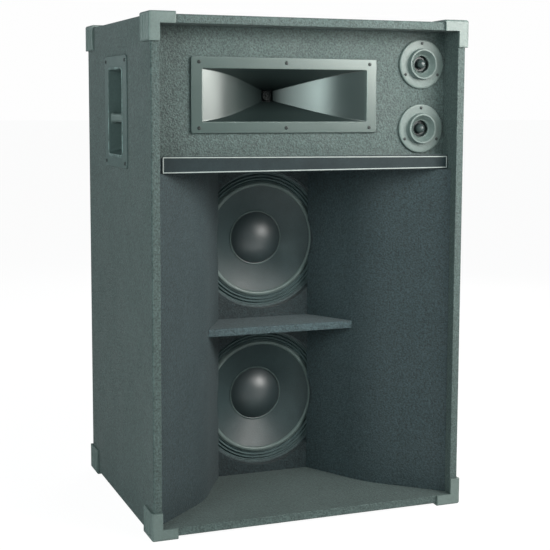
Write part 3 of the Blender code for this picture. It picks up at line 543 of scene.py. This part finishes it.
def build_sleeve():
    """One wrapped sleeve: the section of a board with rounded edges, carried round the four sides."""
    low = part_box("bottom_panel")[0]
    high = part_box("top_panel")[1]
    thickness = high.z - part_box("top_panel")[0].z
    centre = (low + high) / 2
    half = (high - low) / 2
    margin = 0.006
    depth = high.y - low.y
    section = rounded_path([
        (0.0, 0.0, COVER_RADIUS), (thickness, 0.0, COVER_INNER_RADIUS),
        (thickness, depth, COVER_INNER_RADIUS), (0.0, depth, COVER_RADIUS),
    ], 5)
    section += [(0.0, depth - margin), (0.0, margin)]
    loops = []
    for inset, along in section:
        size = (half.x - inset, half.z - inset)
        outline = rounded_rectangle(size, max(COVER_CORNER_RADIUS - inset, 0.0003), 4)
        loops.append([(centre.x + a, low.y + along, centre.z + b) for a, b in outline])
    sleeve = lofted(loops, capped=False)
    for side, sign in (("left", -1), ("right", 1)):
        (y_low, y_high), (z_low, z_high) = handle_opening(side)
        wall = 0.004
        x = sorted((sign * half.x * 0.9, sign * half.x * 1.1))
        hole = box_mesh((x[0], y_low - wall, z_low - wall), (x[1], y_high + wall, z_high + wall))
        sleeve = combined(sleeve, hole, "DIFFERENCE")
    made = piece("covered_sleeve", sleeve, "covering",
                 ("top_panel", "bottom_panel", "left_side_panel", "right_side_panel"))

    def near_edge(co):
        gaps = sorted(half[i] - abs(co[i] - centre[i]) for i in range(3))
        return 1.0 if gaps[1] < COVER_RADIUS else 0.0

    mark_edges(made.data, near_edge)


def build_flare(side, sign):
    """The two boards of a flare under one covering, which rounds off the bend between them."""
    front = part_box(f"{side}_flare_front")
    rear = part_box(f"{side}_flare_rear")
    outer = max(abs(front[0].x), abs(front[1].x))
    bend = Vector((min(abs(front[0].x), abs(front[1].x)), rear[0].y))
    throat = Vector((min(abs(rear[0].x), abs(rear[1].x)), rear[1].y))
    rim = Vector((outer, front[0].y))
    slope_front, slope_rear = (bend - rim).normalized(), (throat - bend).normalized()
    back_rim = rim.y + FLARE_BOARD / abs(slope_front.x)
    back_throat = throat.x + FLARE_BOARD / slope_rear.y
    back_bend = bend + FLARE_BOARD * Vector((0.80, 0.66))
    section = rounded_path([
        (*rim, 0.0), (*bend, FLARE_BEND_RADIUS), (*throat, 0.0001), (back_throat, throat.y, 0.0001),
        (*back_bend, FLARE_BEND_RADIUS), (outer, back_rim, 0.0001),
    ], 14)
    loops = [[(sign * x, y, z) for x, y in section] for z in (front[0].z, front[1].z)]
    boards = lofted(loops)
    for woofer in ("upper_woofer", "lower_woofer"):
        low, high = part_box(f"{woofer}_cone")
        past = throat.y + 0.01
        relief = [(0.0, bend.y), (FLARE_RELIEF, bend.y), (FLARE_RELIEF, past), (0.0, past)]
        boards = combined(boards, lathed(relief, 0.0, (low.z + high.z) / 2), "DIFFERENCE")
    replaced = (f"{side}_flare_front", f"{side}_flare_rear")
    piece(f"{side}_flare_boards", boards, "baffle_covering", replaced, sharp=25)


def build_shelf():
    """The divider shelf with its front edge rounded under the covering."""
    low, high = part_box("divider_shelf")
    back_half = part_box("right_flare_rear")[0].x - 2 * GAP
    radius, reach, side_share = 0.0028, 0.05, 0.4
    section = rounded_path([
        (0.0, low.z, radius), (0.0, high.z, radius), (reach, high.z, 0.0), (reach, low.z, 0.0),
    ], 5)
    loops = []
    for inset, z in section[:-2]:
        across = inset * side_share
        loops.append([(low.x + across, low.y + inset, z), (high.x - across, low.y + inset, z),
                      (back_half, high.y, z), (-back_half, high.y, z)])
    # The shelf's covering is painted lighter, as painted light.
    piece("shelf_board", lofted(loops), "shelf_covering_painted_light", ("divider_shelf",))


# Name strip: blank, with a thin pale border


def strip_outline(low, high, inset):
    """The strip's outline, a little taller at its left end, shrunk by the inset."""
    (left_low, right_low), (left_high, right_high) = STRIP_TAPER
    radius = 0.0012 - inset * 0.25
    return rounded_path([
        (low.x + inset, low.z + left_low + inset, radius),
        (high.x - inset, low.z + right_low + inset, radius),
        (high.x - inset, high.z + right_high - inset, radius),
        (low.x + inset, high.z + left_high - inset, radius),
    ], 3)


def build_strip():
    low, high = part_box("name_strip")
    bevel = 0.0004
    loops = []
    for inset, y in ((bevel, low.y), (0.0, low.y + bevel), (0.0, high.y)):
        loops.append([(x, y, z) for x, z in strip_outline(low, high, inset)])
    piece("strip_plate", lofted(loops), "strip", ("name_strip",))
    margin, width, rise, sink = 0.0014, 0.0020, 0.00015, 0.0003
    loops = []
    for step, y in ((0.0, low.y + sink), (0.0, low.y - rise), (width, low.y - rise), (width, low.y + sink)):
        loops.append([(x, y, z) for x, z in strip_outline(low, high, margin + step)])
    piece("strip_border", lofted(loops, capped=False), "strip_border")


# Screws


def screw_mesh(radius, rise):
    """A pan head with a cross recess, standing on z = 0."""
    dome = rounded_path([
        (0.0, rise, 0.0), (radius * 0.75, rise * 0.96, radius * 0.4), (radius, rise * 0.3, radius * 0.15),
        (radius, -rise * 0.5, 0.0), (0.0, -rise * 0.5, 0.0),
    ], 4)
    head = lathed([(r, -y) for r, y in dome], 0.0, 0.0, 28)
    bmesh.ops.rotate(head, verts=head.verts, matrix=Matrix.Rotation(math.radians(-90), 3, "X"))
    for turn in (0.0, math.pi / 2):
        length, width = radius * 0.62, radius * 0.13
        slot = box_mesh((-length, -width, rise * 0.35), (length, width, rise * 2))
        bmesh.ops.rotate(slot, verts=slot.verts, matrix=Matrix.Rotation(turn, 3, "Z"))
        head = combined(head, slot, "DIFFERENCE")
    return head


def build_screws(name, spots, outward, radius, finish, rise=None):
    """Screws at the given points, their heads facing outward and each turned its own way."""
    model = screw_mesh(radius, rise or radius * 0.5)
    mesh = bpy.data.meshes.new("screw")
    model.to_mesh(mesh)
    model.free()
    whole = bmesh.new()
    facing = Vector(outward).to_track_quat("Z", "Y").to_matrix().to_4x4()
    for i, spot in enumerate(spots):
        start = len(whole.verts)
        whole.from_mesh(mesh)
        whole.verts.ensure_lookup_table()
        turn = Matrix.Rotation(0.7 + 1.9 * i, 4, "Z")
        place = Matrix.Translation(spot) @ facing @ turn
        bmesh.ops.transform(whole, matrix=place, verts=whole.verts[start:])
    bpy.data.meshes.remove(mesh)
    return piece(name, whole, finish, sharp=40, even=False)


# Horn


def horn_half(share):
    """Half width and half height of the horn's inside, from throat (0) to mouth (1)."""
    lip = HORN_MOUTH_HALF[0] - HORN_THROAT_HALF[0] - HORN_STRAIGHT_FLARE
    width = HORN_THROAT_HALF[0] + HORN_STRAIGHT_FLARE * share + lip * share**HORN_LIP_POWER
    height = HORN_THROAT_HALF[1] + (HORN_MOUTH_HALF[1] - HORN_THROAT_HALF[1]) * share
    return width, height


def build_horn():
    low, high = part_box("horn_flare")
    centre = ((low.x + high.x) / 2, (low.z + high.z) / 2)
    flange = ((high.x - low.x) / 2, (high.z - low.z) / 2)
    face, end = low.y, high.y
    back = face + FLANGE_THICKNESS
    shares = [1 - (1 - i / HORN_SECTIONS) ** 1.5 for i in range(HORN_SECTIONS + 1)]
    inside = [(horn_half(s), face + HORN_MOUTH_RADIUS + HORN_LENGTH * (1 - s), 0.0020) for s in shares[:-1]]
    rings = [(HORN_THROAT_HALF, end, 0.002)] + inside
    for step in range(6):
        angle = math.pi / 2 * step / 5
        grow = HORN_MOUTH_RADIUS * (1 - math.cos(angle))
        half = tuple(m + grow for m in HORN_MOUTH_HALF)
        rings.append((half, face + HORN_MOUTH_RADIUS * (1 - math.sin(angle)), 0.0020 + grow))
    edge = 0.0016
    for step in range(6):
        angle = math.pi / 2 * step / 5
        half = tuple(f - edge * (1 - math.sin(angle)) for f in flange)
        rings.append((half, face + edge * (1 - math.cos(angle)), 0.0030))
    rings.append((flange, back, 0.003))
    outer = [((w + HORN_WALL, h + HORN_WALL), y, 0.004) for (w, h), y, _ in inside if y > back + HORN_WALL]
    rings.append(((HORN_MOUTH_HALF[0] + HORN_WALL, HORN_MOUTH_HALF[1] + HORN_WALL), back, 0.004))
    rings += outer[::-1]
    rings.append((tuple(h + HORN_WALL for h in HORN_THROAT_HALF), end, 0.004))
    loops = []
    for half, y, radius in rings:
        loops.append([(centre[0] + a, y, centre[1] + b) for a, b in rounded_rectangle(half, radius, 3)])
    piece("horn_body", lofted(loops, capped=False), "horn_plastic", ("horn_flare",), sharp=50)
    plug = [(0.0, end - 0.0070)]
    for radius in (0.0026, 0.0056, 0.0086):
        plug += [(radius, end - 0.0062), (radius + 0.0002, end - 0.0030), (radius + 0.0012, end - 0.0030),
                 (radius + 0.0014, end - 0.0058)]
    plug += [(0.0108, end - 0.0050), (0.0108, end - GAP), (0.0, end - GAP)]
    # The plug's finish paints the throat's shade nearly black.
    piece("horn_phase_plug", lathed(plug, *centre, 64), "plug_painted_shade")
    spots = []
    for across in (-1, 0, 1):
        for up in (-1, 1):
            spots.append((centre[0] + across * (flange[0] - HORN_SCREW_INSET[0]), face,
                          centre[1] + up * (flange[1] - HORN_SCREW_INSET[1])))
    build_screws("horn_screws", spots, (0, -1, 0), HORN_SCREW, "dark_screw")


# Tweeters


def build_tweeter(name):
    low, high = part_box(f"{name}_horn")
    x, z = (low.x + high.x) / 2, (low.z + high.z) / 2
    radius = (high.x - low.x) / 2
    face = low.y + 0.0100
    back = face + FLANGE_THICKNESS
    body = TWEETER_BODY_RADIUS
    profile = rounded_path([
        (0.0186, face + 0.0150, 0.0), (0.0186, face + 0.0026, 0.0010), (0.0205, face + 0.0010, 0.0020),
        (0.0262, face - 0.0082, 0.003), (0.0273, face - 0.0100, 0.0006), (0.0304, face - 0.0100, 0.0010),
        (0.0311, face - 0.0015, 0.0), (0.0318, face, 0.0008), (0.0470, face, 0.0010),
        (radius, face + 0.0006, 0.0018), (radius, back, 0.0005), (body, back, 0.0),
        (body, face + 0.0220, 0.0), (0.0186, face + 0.0220, 0.0),
    ], 5)
    piece(f"{name}_body", lathed(profile, x, z), "moulding", (f"{name}_horn",))
    motor_front = face + 0.0223
    motor_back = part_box(f"{name}_motor")[1].y
    motor = rounded_path([
        (0.0, motor_front, 0.0), (TWEETER_MAGNET_RADIUS, motor_front, 0.0),
        (TWEETER_MAGNET_RADIUS, motor_back, 0.002), (0.0, motor_back, 0.0),
    ], 5)
    piece(f"{name}_magnet", lathed(motor, x, z, 72), "ferrite", (f"{name}_motor",))
    bullet = rounded_path([
        (0.0, face - 0.0060, 0.0), (0.0050, face - 0.0058, 0.004), (0.0088, face + 0.0010, 0.004),
        (0.0086, face + 0.0110, 0.002), (0.0070, face + 0.0125, 0.0), (0.0070, face + 0.0220, 0.0),
        (0.0, face + 0.0220, 0.0),
    ], 6)
    piece(f"{name}_bullet", lathed(bullet, x, z, 72), "bullet_plastic")
    dome = rounded_path([
        (0.0073, face + 0.0120, 0.0), (0.0110, face + 0.0098, 0.003), (0.0150, face + 0.0098, 0.003),
        (0.0183, face + 0.0128, 0.0), (0.0183, face + 0.0148, 0.0), (0.0073, face + 0.0148, 0.0),
    ], 4)
    # The diaphragm's finish is painted shade behind the bullet.
    piece(f"{name}_diaphragm", lathed(dome, x, z, 72), "throat_painted_shade")
    ring = rounded_path([(0.0171, face + 0.0050, 0.0005), (0.0171, face + 0.0014, 0.0006),
                         (0.0184, face + 0.0014, 0.0006), (0.0184, face + 0.0050, 0.0005)], 3)
    piece(f"{name}_ring", lathed(ring, x, z, 96), "moulding")
    spots = [(x + a, face, z + b) for a, b in circle(TWEETER_SCREW_CIRCLE, 3, math.pi / 2)]
    build_screws(f"{name}_screws", spots, (0, -1, 0), TWEETER_SCREW, "dark_screw")


# Woofers


def bezier(first, control, last, steps):
    """Points along a curve that leaves the first point and reaches the last along the control point."""
    points = []
    for i in range(steps + 1):
        t = i / steps
        shares = ((1 - t) ** 2, 2 * t * (1 - t), t * t)
        points.append(tuple(sum(share * value for share, value in zip(shares, along))
                            for along in zip(first, control, last)))
    return points


def cone_profile(base):
    """The cone's section: a gently curved wall from the lip down to the neck."""
    edge = (CONE_EDGE - CONE_LIP - 0.0002, base + 0.0046)
    wall = bezier(edge, (0.0745, base + 0.0245), (0.0386, base + 0.0478), 24)
    thickness = 0.0011
    return wall + [(r, y + thickness) for r, y in reversed(wall)]


def lip_profile(base):
    """The rolled lip at the cone's edge, its paper painted lighter than the cone's as a painted highlight.
    """
    middle, rise, y = CONE_EDGE - CONE_LIP / 2, 0.0038, base + 0.0046
    angles = (math.radians(15 * i) for i in range(13))
    roll = [(middle + CONE_LIP / 2 * math.cos(a), y - rise * math.sin(a)) for a in angles]
    return roll + [(CONE_EDGE - CONE_LIP, y + 0.0010), (CONE_EDGE, y + 0.0010)]


def cap_profile(base):
    """The dust cap: a dome with a thin skirt that is glued to the cone."""
    sphere = (CAP_RADIUS**2 + CAP_RISE**2) / (2 * CAP_RISE)
    centre = base + CAP_DEPTH - CAP_RISE + sphere
    widest = math.asin(CAP_RADIUS / sphere)
    rim = base + CAP_DEPTH
    angles = [widest * i / 24 for i in range(25)]
    dome = [(sphere * math.sin(a), centre - sphere * math.cos(a)) for a in angles]
    skirt = [(CAP_RADIUS + 0.0010, rim - 0.0003), (CAP_RADIUS + 0.0024, rim - 0.0014),
             (CAP_RADIUS + 0.0028, rim - 0.0012), (CAP_RADIUS - 0.0006, rim + 0.0008)]
    inner = sphere - 0.0009
    under = [(inner * math.sin(a), centre - inner * math.cos(a)) for a in reversed(angles)]
    return dome + skirt + under


def cap_glue_profile(base):
    """The bead of glue round the dust cap's edge."""
    radius, y, size = CAP_RADIUS + 0.0019, base + CAP_DEPTH - 0.0016, 0.0013
    return [(radius + a, y + b) for a, b in circle(size, 12)]


def surround_wave(base):
    """Points of the pleated cloth from the cone's edge to the frame, as (radius, y)."""
    start, end = CONE_EDGE + 0.0001, GASKET_INNER
    rest = base + 0.0042
    steps = 16 * PLEATS
    points = []
    for i in range(steps + 1):
        share = i / steps
        fade = min(1.0, 6 * share, 6 * (1 - share))
        wave = PLEAT_HEIGHT * math.cos(2 * math.pi * PLEATS * share)
        points.append((start + (end - start) * share, rest - wave * fade))
    return points + [(GASKET_RIM - 0.0005, rest)]


def build_surround(name, base, z):
    """The surround in wedges round the driver, from the cone's edge to the frame."""
    thickness = 0.0006
    wave = surround_wave(base)
    section = wave + [(r, y + thickness) for r, y in reversed(wave)]
    steps = ROUND_STEPS // SURROUND_WEDGES
    width = 2 * math.pi / SURROUND_WEDGES
    for wedge in range(SURROUND_WEDGES):
        bm = bmesh.new()
        rings = []
        for step in range(steps + 1):
            angle = width * (wedge + step / steps)
            across, up = math.cos(angle), math.sin(angle)
            rings.append([bm.verts.new((r * across, y, z + r * up)) for r, y in section])
        for first, second in zip(rings, rings[1:]):
            bridge(bm, first, second)
        replaced = (f"{name}_surround",) if wedge == 0 else ()
        made = piece(f"{name}_surround_{wedge + 1}", bm, "cloth", replaced, body=None, sharp=60, even=False)
        angle = width * (wedge + 0.5)
        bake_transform(made)


def build_woofer(name, body):
    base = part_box("woofer_baffle")[1].y
    low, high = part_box(f"{name}_cone")
    z = (low.z + high.z) / 2
    piece(f"{name}_paper", lathed(cone_profile(base), 0.0, z), "paper", (f"{name}_cone",), body,
          sharp=50, even=False)
    piece(f"{name}_cap", lathed(cap_profile(base), 0.0, z, 96), "cap_paper", (f"{name}_dust_cap",), body,
          sharp=50, even=False)
    build_surround(name, base, z)
    piece(f"{name}_lip", lathed(lip_profile(base), 0.0, z), "lip_paper_painted_highlight", (), body, sharp=50, even=False)
    glue = cap_glue_profile(base)
    piece(f"{name}_cap_glue", lathed(glue, 0.0, z, 96), "glue", (), body, sharp=60, even=False)
    ring = rounded_path([(GASKET_INNER, base + GAP, 0.0012), (GASKET_RIM, base + GAP, 0.0),
                         (GASKET_RIM, base + 0.0034, 0.0), (GASKET_INNER, base + 0.0034, 0.0008)], 3)
    piece(f"{name}_ring", lathed(ring, 0.0, z), "cork", (f"{name}_gasket",))


# Handles


def side_loop(sign, centre, half, x, radius):
    """A rounded rectangle in a side wall's plane, on the side that the sign gives."""
    outline = rounded_rectangle(half, max(radius, 0.0008), 8)
    return [(sign * x, centre[0] + a, centre[1] + b) for a, b in outline]


def build_handle(side, sign):
    low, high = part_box(f"{side}_handle_cup")
    plate = ((low.y + high.y) / 2, (low.z + high.z) / 2)
    plate_half = ((high.y - low.y) / 2, (high.z - low.z) / 2)
    (y_low, y_high), (z_low, z_high) = handle_opening(side)
    hole = ((y_low + y_high) / 2, (z_low + z_high) / 2)
    hole_half = ((y_high - y_low) / 2, (z_high - z_low) / 2)
    lip_top = max(abs(low.x), abs(high.x))
    floor = min(abs(low.x), abs(high.x)) + 0.0025
    rise = 0.0016
    face = lip_top - rise
    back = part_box("top_panel")[1].x + GAP
    wall, taper, edge = 0.0025, 0.004, 0.0014

    def grown(half, by):
        return (half[0] + by, half[1] + by)

    loops = [side_loop(sign, hole, grown(hole_half, wall - taper), floor - wall, 0.008),
             side_loop(sign, hole, grown(hole_half, wall), back, 0.010),
             side_loop(sign, plate, plate_half, back, 0.010)]
    for step in range(5):
        angle = math.pi / 2 * step / 4
        inset = edge * (1 - math.cos(angle))
        x = face - edge * (1 - math.sin(angle))
        loops.append(side_loop(sign, plate, grown(plate_half, -inset), x, 0.010))
    bead = 0.0030
    loops.append(side_loop(sign, hole, grown(hole_half, 2 * bead + 0.0012), face, 0.012))
    for step in range(9):
        angle = math.pi * step / 8
        out = bead * (1 + math.cos(angle))
        x = face + rise * math.sin(angle)
        loops.append(side_loop(sign, hole, grown(hole_half, out), x, 0.008 + out))
    slope = 0.012
    raised_hole = (hole[0], hole[1] + slope / 2)
    pocket = ((-0.8 * taper, floor + 0.004), (-taper - 0.001, floor + 0.0012), (-taper - 0.004, floor))
    for out, x in pocket:
        half = (hole_half[0] + out, hole_half[1] + out - slope / 2)
        loops.append(side_loop(sign, raised_hole, half, x, 0.006))
    frame_piece = piece(f"{side}_handle_frame", lofted(loops), "handle_plastic_painted_highlight", (f"{side}_handle_cup",))
    # The raised lip round the opening is marked for a painted highlight.
    mark_edges(frame_piece.data, lambda co: 1.0 if abs(co.x) > face + rise / 3 else 0.0)
    grip_low, grip_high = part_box(f"{side}_handle_grip")
    centre = (grip_low + grip_high) / 2
    half = (grip_high - grip_low) / 2
    steps = 24
    loops = []
    for step in range(steps + 1):
        share = 2 * step / steps - 1
        swell = (0.0042 - 0.0014 * share) * abs(share) ** 5
        outline = rounded_rectangle((half.x, half.z + swell), 0.0055, 6)
        y = centre.y + share * (half.y + 0.0030)
        loops.append([(centre.x + sign * a, y, centre.z + b) for a, b in outline])
    piece(f"{side}_handle_bar", lofted(loops), "moulding", (f"{side}_handle_grip",))
    reach = [size - inset for size, inset in zip(plate_half, HANDLE_SCREW_INSET)]
    spots = [(sign * face, plate[0] + a * reach[0], plate[1] + b * reach[1])
             for a in (-1, 1) for b in (-1, 1)]
    build_screws(f"{side}_handle_screws", spots, (sign, 0, 0), HANDLE_SCREW, "dark_screw")


# Corner protectors


def protector_mesh(low, high, corner, band):
    """The top, rear, right moulded corner, round the cabinet's corner at the given point."""
    rib_rise = 0.0017
    top = Vector((high.x - rib_rise, high.y, high.z))
    block = box_mesh(low, top)
    outer = [edge for edge in block.edges
             if sum(all(abs(v.co[i] - top[i]) < 1e-6 for v in edge.verts) for i in range(3)) == 2]
    bmesh.ops.bevel(block, geom=outer, offset=0.0048, segments=6, profile=0.5, affect="EDGES")
    ends = []
    for edge in block.edges:
        a, b = (v.co for v in edge.verts)
        for i in range(3):
            at_end = abs(a[i] - low[i]) < 1e-6 and abs(b[i] - low[i]) < 1e-6
            outside = any(a[j] > top[j] - 1e-6 and b[j] > top[j] - 1e-6 for j in range(3) if j != i)
            if at_end and outside:
                ends.append(edge)
    bmesh.ops.bevel(block, geom=ends, offset=0.0034, segments=4, profile=0.5, affect="EDGES")
    reach_y = high.y - low.y
    for share in PROTECTOR_RIBS:
        rib_y = high.y - reach_y * share
        outline = circle(PROTECTOR_RIB_RADIUS, 16)
        middle_x = top.x - 0.0010
        span = (low.z + 0.0045, high.z - 0.0065)
        loops = []
        for z, size in ((span[0], 0.3), (span[0] + 0.0015, 0.8), (span[0] + 0.004, 1.0),
                        (span[1] - 0.004, 1.0), (span[1] - 0.0015, 0.8), (span[1], 0.3)):
            loops.append([(middle_x + a * size, rib_y + b * size, z) for a, b in outline])
        block = combined(block, lofted(loops), "UNION")
    far = 1.0
    cabinet = box_mesh((corner.x - far, corner.y - far, corner.z - far), corner + Vector((GAP, GAP, GAP)))
    block = combined(block, cabinet, "DIFFERENCE")
    inner = (corner.x - band, corner.y + far, corner.z - band)
    mouth = box_mesh((corner.x - far, corner.y + GAP / 2, corner.z - far), inner)
    return combined(block, mouth, "DIFFERENCE")


def build_protectors():
    panel_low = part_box("bottom_panel")[0]
    panel_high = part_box("top_panel")[1]
    centre = (panel_low + panel_high) / 2
    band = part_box("top_panel")[1].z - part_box("top_panel")[0].z + 0.0004
    low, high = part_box("corner_top_rear_right")
    model = protector_mesh(low, high, panel_high, band)
    mesh = bpy.data.meshes.new("protector")
    model.to_mesh(mesh)
    model.free()
    for vertical, sign_z in (("top", 1), ("bottom", -1)):
        for end, sign_y in (("rear", 1), ("front", -1)):
            for side, sign_x in (("right", 1), ("left", -1)):
                bm = bmesh.new()
                bm.from_mesh(mesh)
                flip = Matrix.Diagonal((sign_x, sign_y, sign_z, 1.0))
                place = Matrix.Translation(centre) @ flip @ Matrix.Translation(-centre)
                bmesh.ops.transform(bm, matrix=place, verts=bm.verts)
                node = f"corner_{vertical}_{end}_{side}"
                made = piece(f"protector_{vertical}_{end}_{side}", bm, "moulding", (node,), sharp=40)
                half = (panel_high - panel_low) / 2

                def outermost(co, half=half):
                    beyond = [abs(co[i] - centre[i]) - half[i] > 0.0032 for i in range(3)]
                    return 1.0 if sum(beyond) > 1 else 0.0

                mark_edges(made.data, outermost)
    bpy.data.meshes.remove(mesh)


# Rear


def build_rear():
    low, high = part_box("rear_panel")
    y = high.y
    inset = REAR_SCREW_INSET
    spots = []
    for z in (low.z + inset, high.z - inset):
        for share in (0.04, 0.35, 0.65, 0.96):
            spots.append((low.x + (high.x - low.x) * share, y, z))
    for x in (low.x + inset, high.x - inset):
        for share in (0.25, 0.5, 0.75):
            spots.append((x, y, low.z + (high.z - low.z) * share))
    build_screws("rear_panel_screws", spots, (0, 1, 0), REAR_SCREW, "dark_screw", 0.0014)


def build_terminals():
    low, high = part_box("terminal_cup")
    inset = TERMINAL_SCREW_INSET
    spots = [(x, high.y, z) for x in (low.x + inset, high.x - inset)
             for z in (low.z + inset, high.z - inset)]
    build_screws("terminal_screws", spots, (0, 1, 0), TERMINAL_SCREW, "dark_screw", 0.0010)
    for side in ("left", "right"):
        low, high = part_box(f"jack_socket_{side}")
        x, z = (low.x + high.x) / 2, (low.z + high.z) / 2
        bore, y = 0.0034, high.y
        collar = rounded_path([
            (bore, y, 0.0004), (0.0062, y, 0.0006), (0.0062, y - 0.0086, 0.0), (0.0096, y - 0.0086, 0.0003),
            (0.0096, y - 0.0092, 0.0), (0.0050, y - 0.0092, 0.0), (0.0050, low.y + 0.02, 0.0),
            (0.0100, low.y + 0.02, 0.0), (0.0100, low.y, 0.0), (0.0, low.y, 0.0), (0.0, low.y + 0.002, 0.0),
            (bore, low.y + 0.002, 0.0),
        ], 3)
        piece(f"jack_{side}_barrel", lathed(collar, x, z, 64), "zinc", (f"jack_socket_{side}",))
        loops = []
        for radius, along in ((0.0086, 0.0), (0.0092, 0.0005), (0.0092, 0.0024), (0.0086, 0.0029),
                              (0.0064, 0.0029), (0.0064, 0.0)):
            hexagon = circle(radius, 6, math.radians(15))
            loops.append([(x + a, y - 0.0084 + along, z + b) for a, b in hexagon])
        piece(f"jack_{side}_nut", lofted(loops, capped=False), "zinc", sharp=25)


# Stage


def build_stage():
    """A pale floor that runs out to the horizon."""
    bm = bmesh.new()
    bmesh.ops.create_grid(bm, x_segments=1, y_segments=1, size=60.0)
    mesh = bpy.data.meshes.new("floor")
    bm.to_mesh(mesh)
    bm.free()
    floor = bpy.data.objects.new("floor", mesh)
    bpy.context.scene.collection.objects.link(floor)
    made = surface("floor", (0.80, 0.80, 0.80), 0.9, mottle=((3.0, 0.01),))
    mesh.materials.append(made)
    tree = made.node_tree
    glow = add(tree, "ShaderNodeEmission", {"Color": (1.0, 1.0, 1.0, 1.0), "Strength": FLOOR_WHITE})
    is_seen = add(tree, "ShaderNodeLightPath").outputs["Is Camera Ray"]
    share = calc(tree, "MULTIPLY", is_seen, FLOOR_GLOW)
    chosen = add(tree, "ShaderNodeMixShader",
                 {0: share, 1: tree.nodes["Principled BSDF"].outputs[0], 2: glow.outputs[0]})
    tree.links.new(chosen.outputs[0], tree.nodes["Material Output"].inputs["Surface"])


def area_light(name, place, size, power, colour, target=(0.0, 0.0, 0.72)):
    """A softbox facing the object."""
    lamp = bpy.data.lights.new(name, "AREA")
    lamp.shape = "RECTANGLE"
    lamp.size, lamp.size_y = size
    lamp.energy = power
    lamp.color = colour
    made = bpy.data.objects.new(name, lamp)
    bpy.context.scene.collection.objects.link(made)
    made.location = place
    made.rotation_mode = "QUATERNION"
    made.rotation_quaternion = (Vector(place) - Vector(target)).to_track_quat("Z", "Y")


def build_lights():
    area_light("key", (0.9, -1.3, 1.22), (0.7, 0.6), 21.5, WARM)
    area_light("side_key", (1.4, -0.98, 0.98), (0.6, 0.6), 7.0, WARM)
    area_light("high", (0.25, -1.15, 1.50), (0.5, 0.5), 6.4, NEUTRAL)
    area_light("left_high", (-1.2, -0.9, 1.4), (0.5, 0.5), 1.5, COOL)
    area_light("left", (-2.34, -1.86, 1.2), (1.1, 1.0), 31.5, COOL)
    area_light("rear", (1.5, 2.6, 1.7), (1.6, 1.6), 26.0, WARM)
    area_light("rear_left", (-2.2, 2.4, 1.5), (1.4, 1.4), 16.0, COOL)
    area_light("right", (2.9, 0.6, 1.2), (1.4, 1.4), 14.0, WARM)
    world = bpy.data.worlds.new("studio")
    bpy.context.scene.world = world
    world.use_nodes = True
    tree = world.node_tree
    lit = tree.nodes["Background"]
    lit.inputs["Color"].default_value = (0.82, 1.0, 1.08, 1.0)
    lit.inputs["Strength"].default_value = 0.10
    seen = add(tree, "ShaderNodeBackground", {"Color": (1.0, 1.0, 1.0, 1.0), "Strength": 0.99})
    is_seen = add(tree, "ShaderNodeLightPath").outputs["Is Camera Ray"]
    chosen = add(tree, "ShaderNodeMixShader", {0: is_seen, 1: lit.outputs[0], 2: seen.outputs[0]})
    tree.links.new(chosen.outputs[0], tree.nodes["World Output"].inputs["Surface"])


def build_camera():
    lens = bpy.data.cameras.new("camera")
    lens.lens = CAMERA_LENS
    lens.sensor_width = 36.0
    lens.shift_y = CAMERA_SHIFT
    lens.clip_start, lens.clip_end = 0.05, 200.0
    camera = bpy.data.objects.new("camera", lens)
    bpy.context.scene.collection.objects.link(camera)
    turn = Matrix.Rotation(-CAMERA_YAW, 4, "Z") @ Matrix.Rotation(math.pi / 2 - CAMERA_PITCH, 4, "X")
    roll = Matrix.Rotation(CAMERA_ROLL, 4, "Z")
    camera.matrix_world = Matrix.Translation(CAMERA_PLACE) @ turn @ roll
    bpy.context.scene.camera = camera
    bpy.context.scene.view_settings.view_transform = "Standard"


build_camera()
build_stage()
build_lights()
dress_cad_nodes()
build_sleeve()
build_flare("left", -1)
build_flare("right", 1)
build_shelf()
build_strip()
build_horn()
build_tweeter("upper_tweeter")
build_tweeter("lower_tweeter")
build_woofer("upper_woofer", "upper_driver")
build_woofer("lower_woofer", "lower_driver")
build_handle("left", -1)
build_handle("right", 1)
build_protectors()
build_rear()
build_terminals()
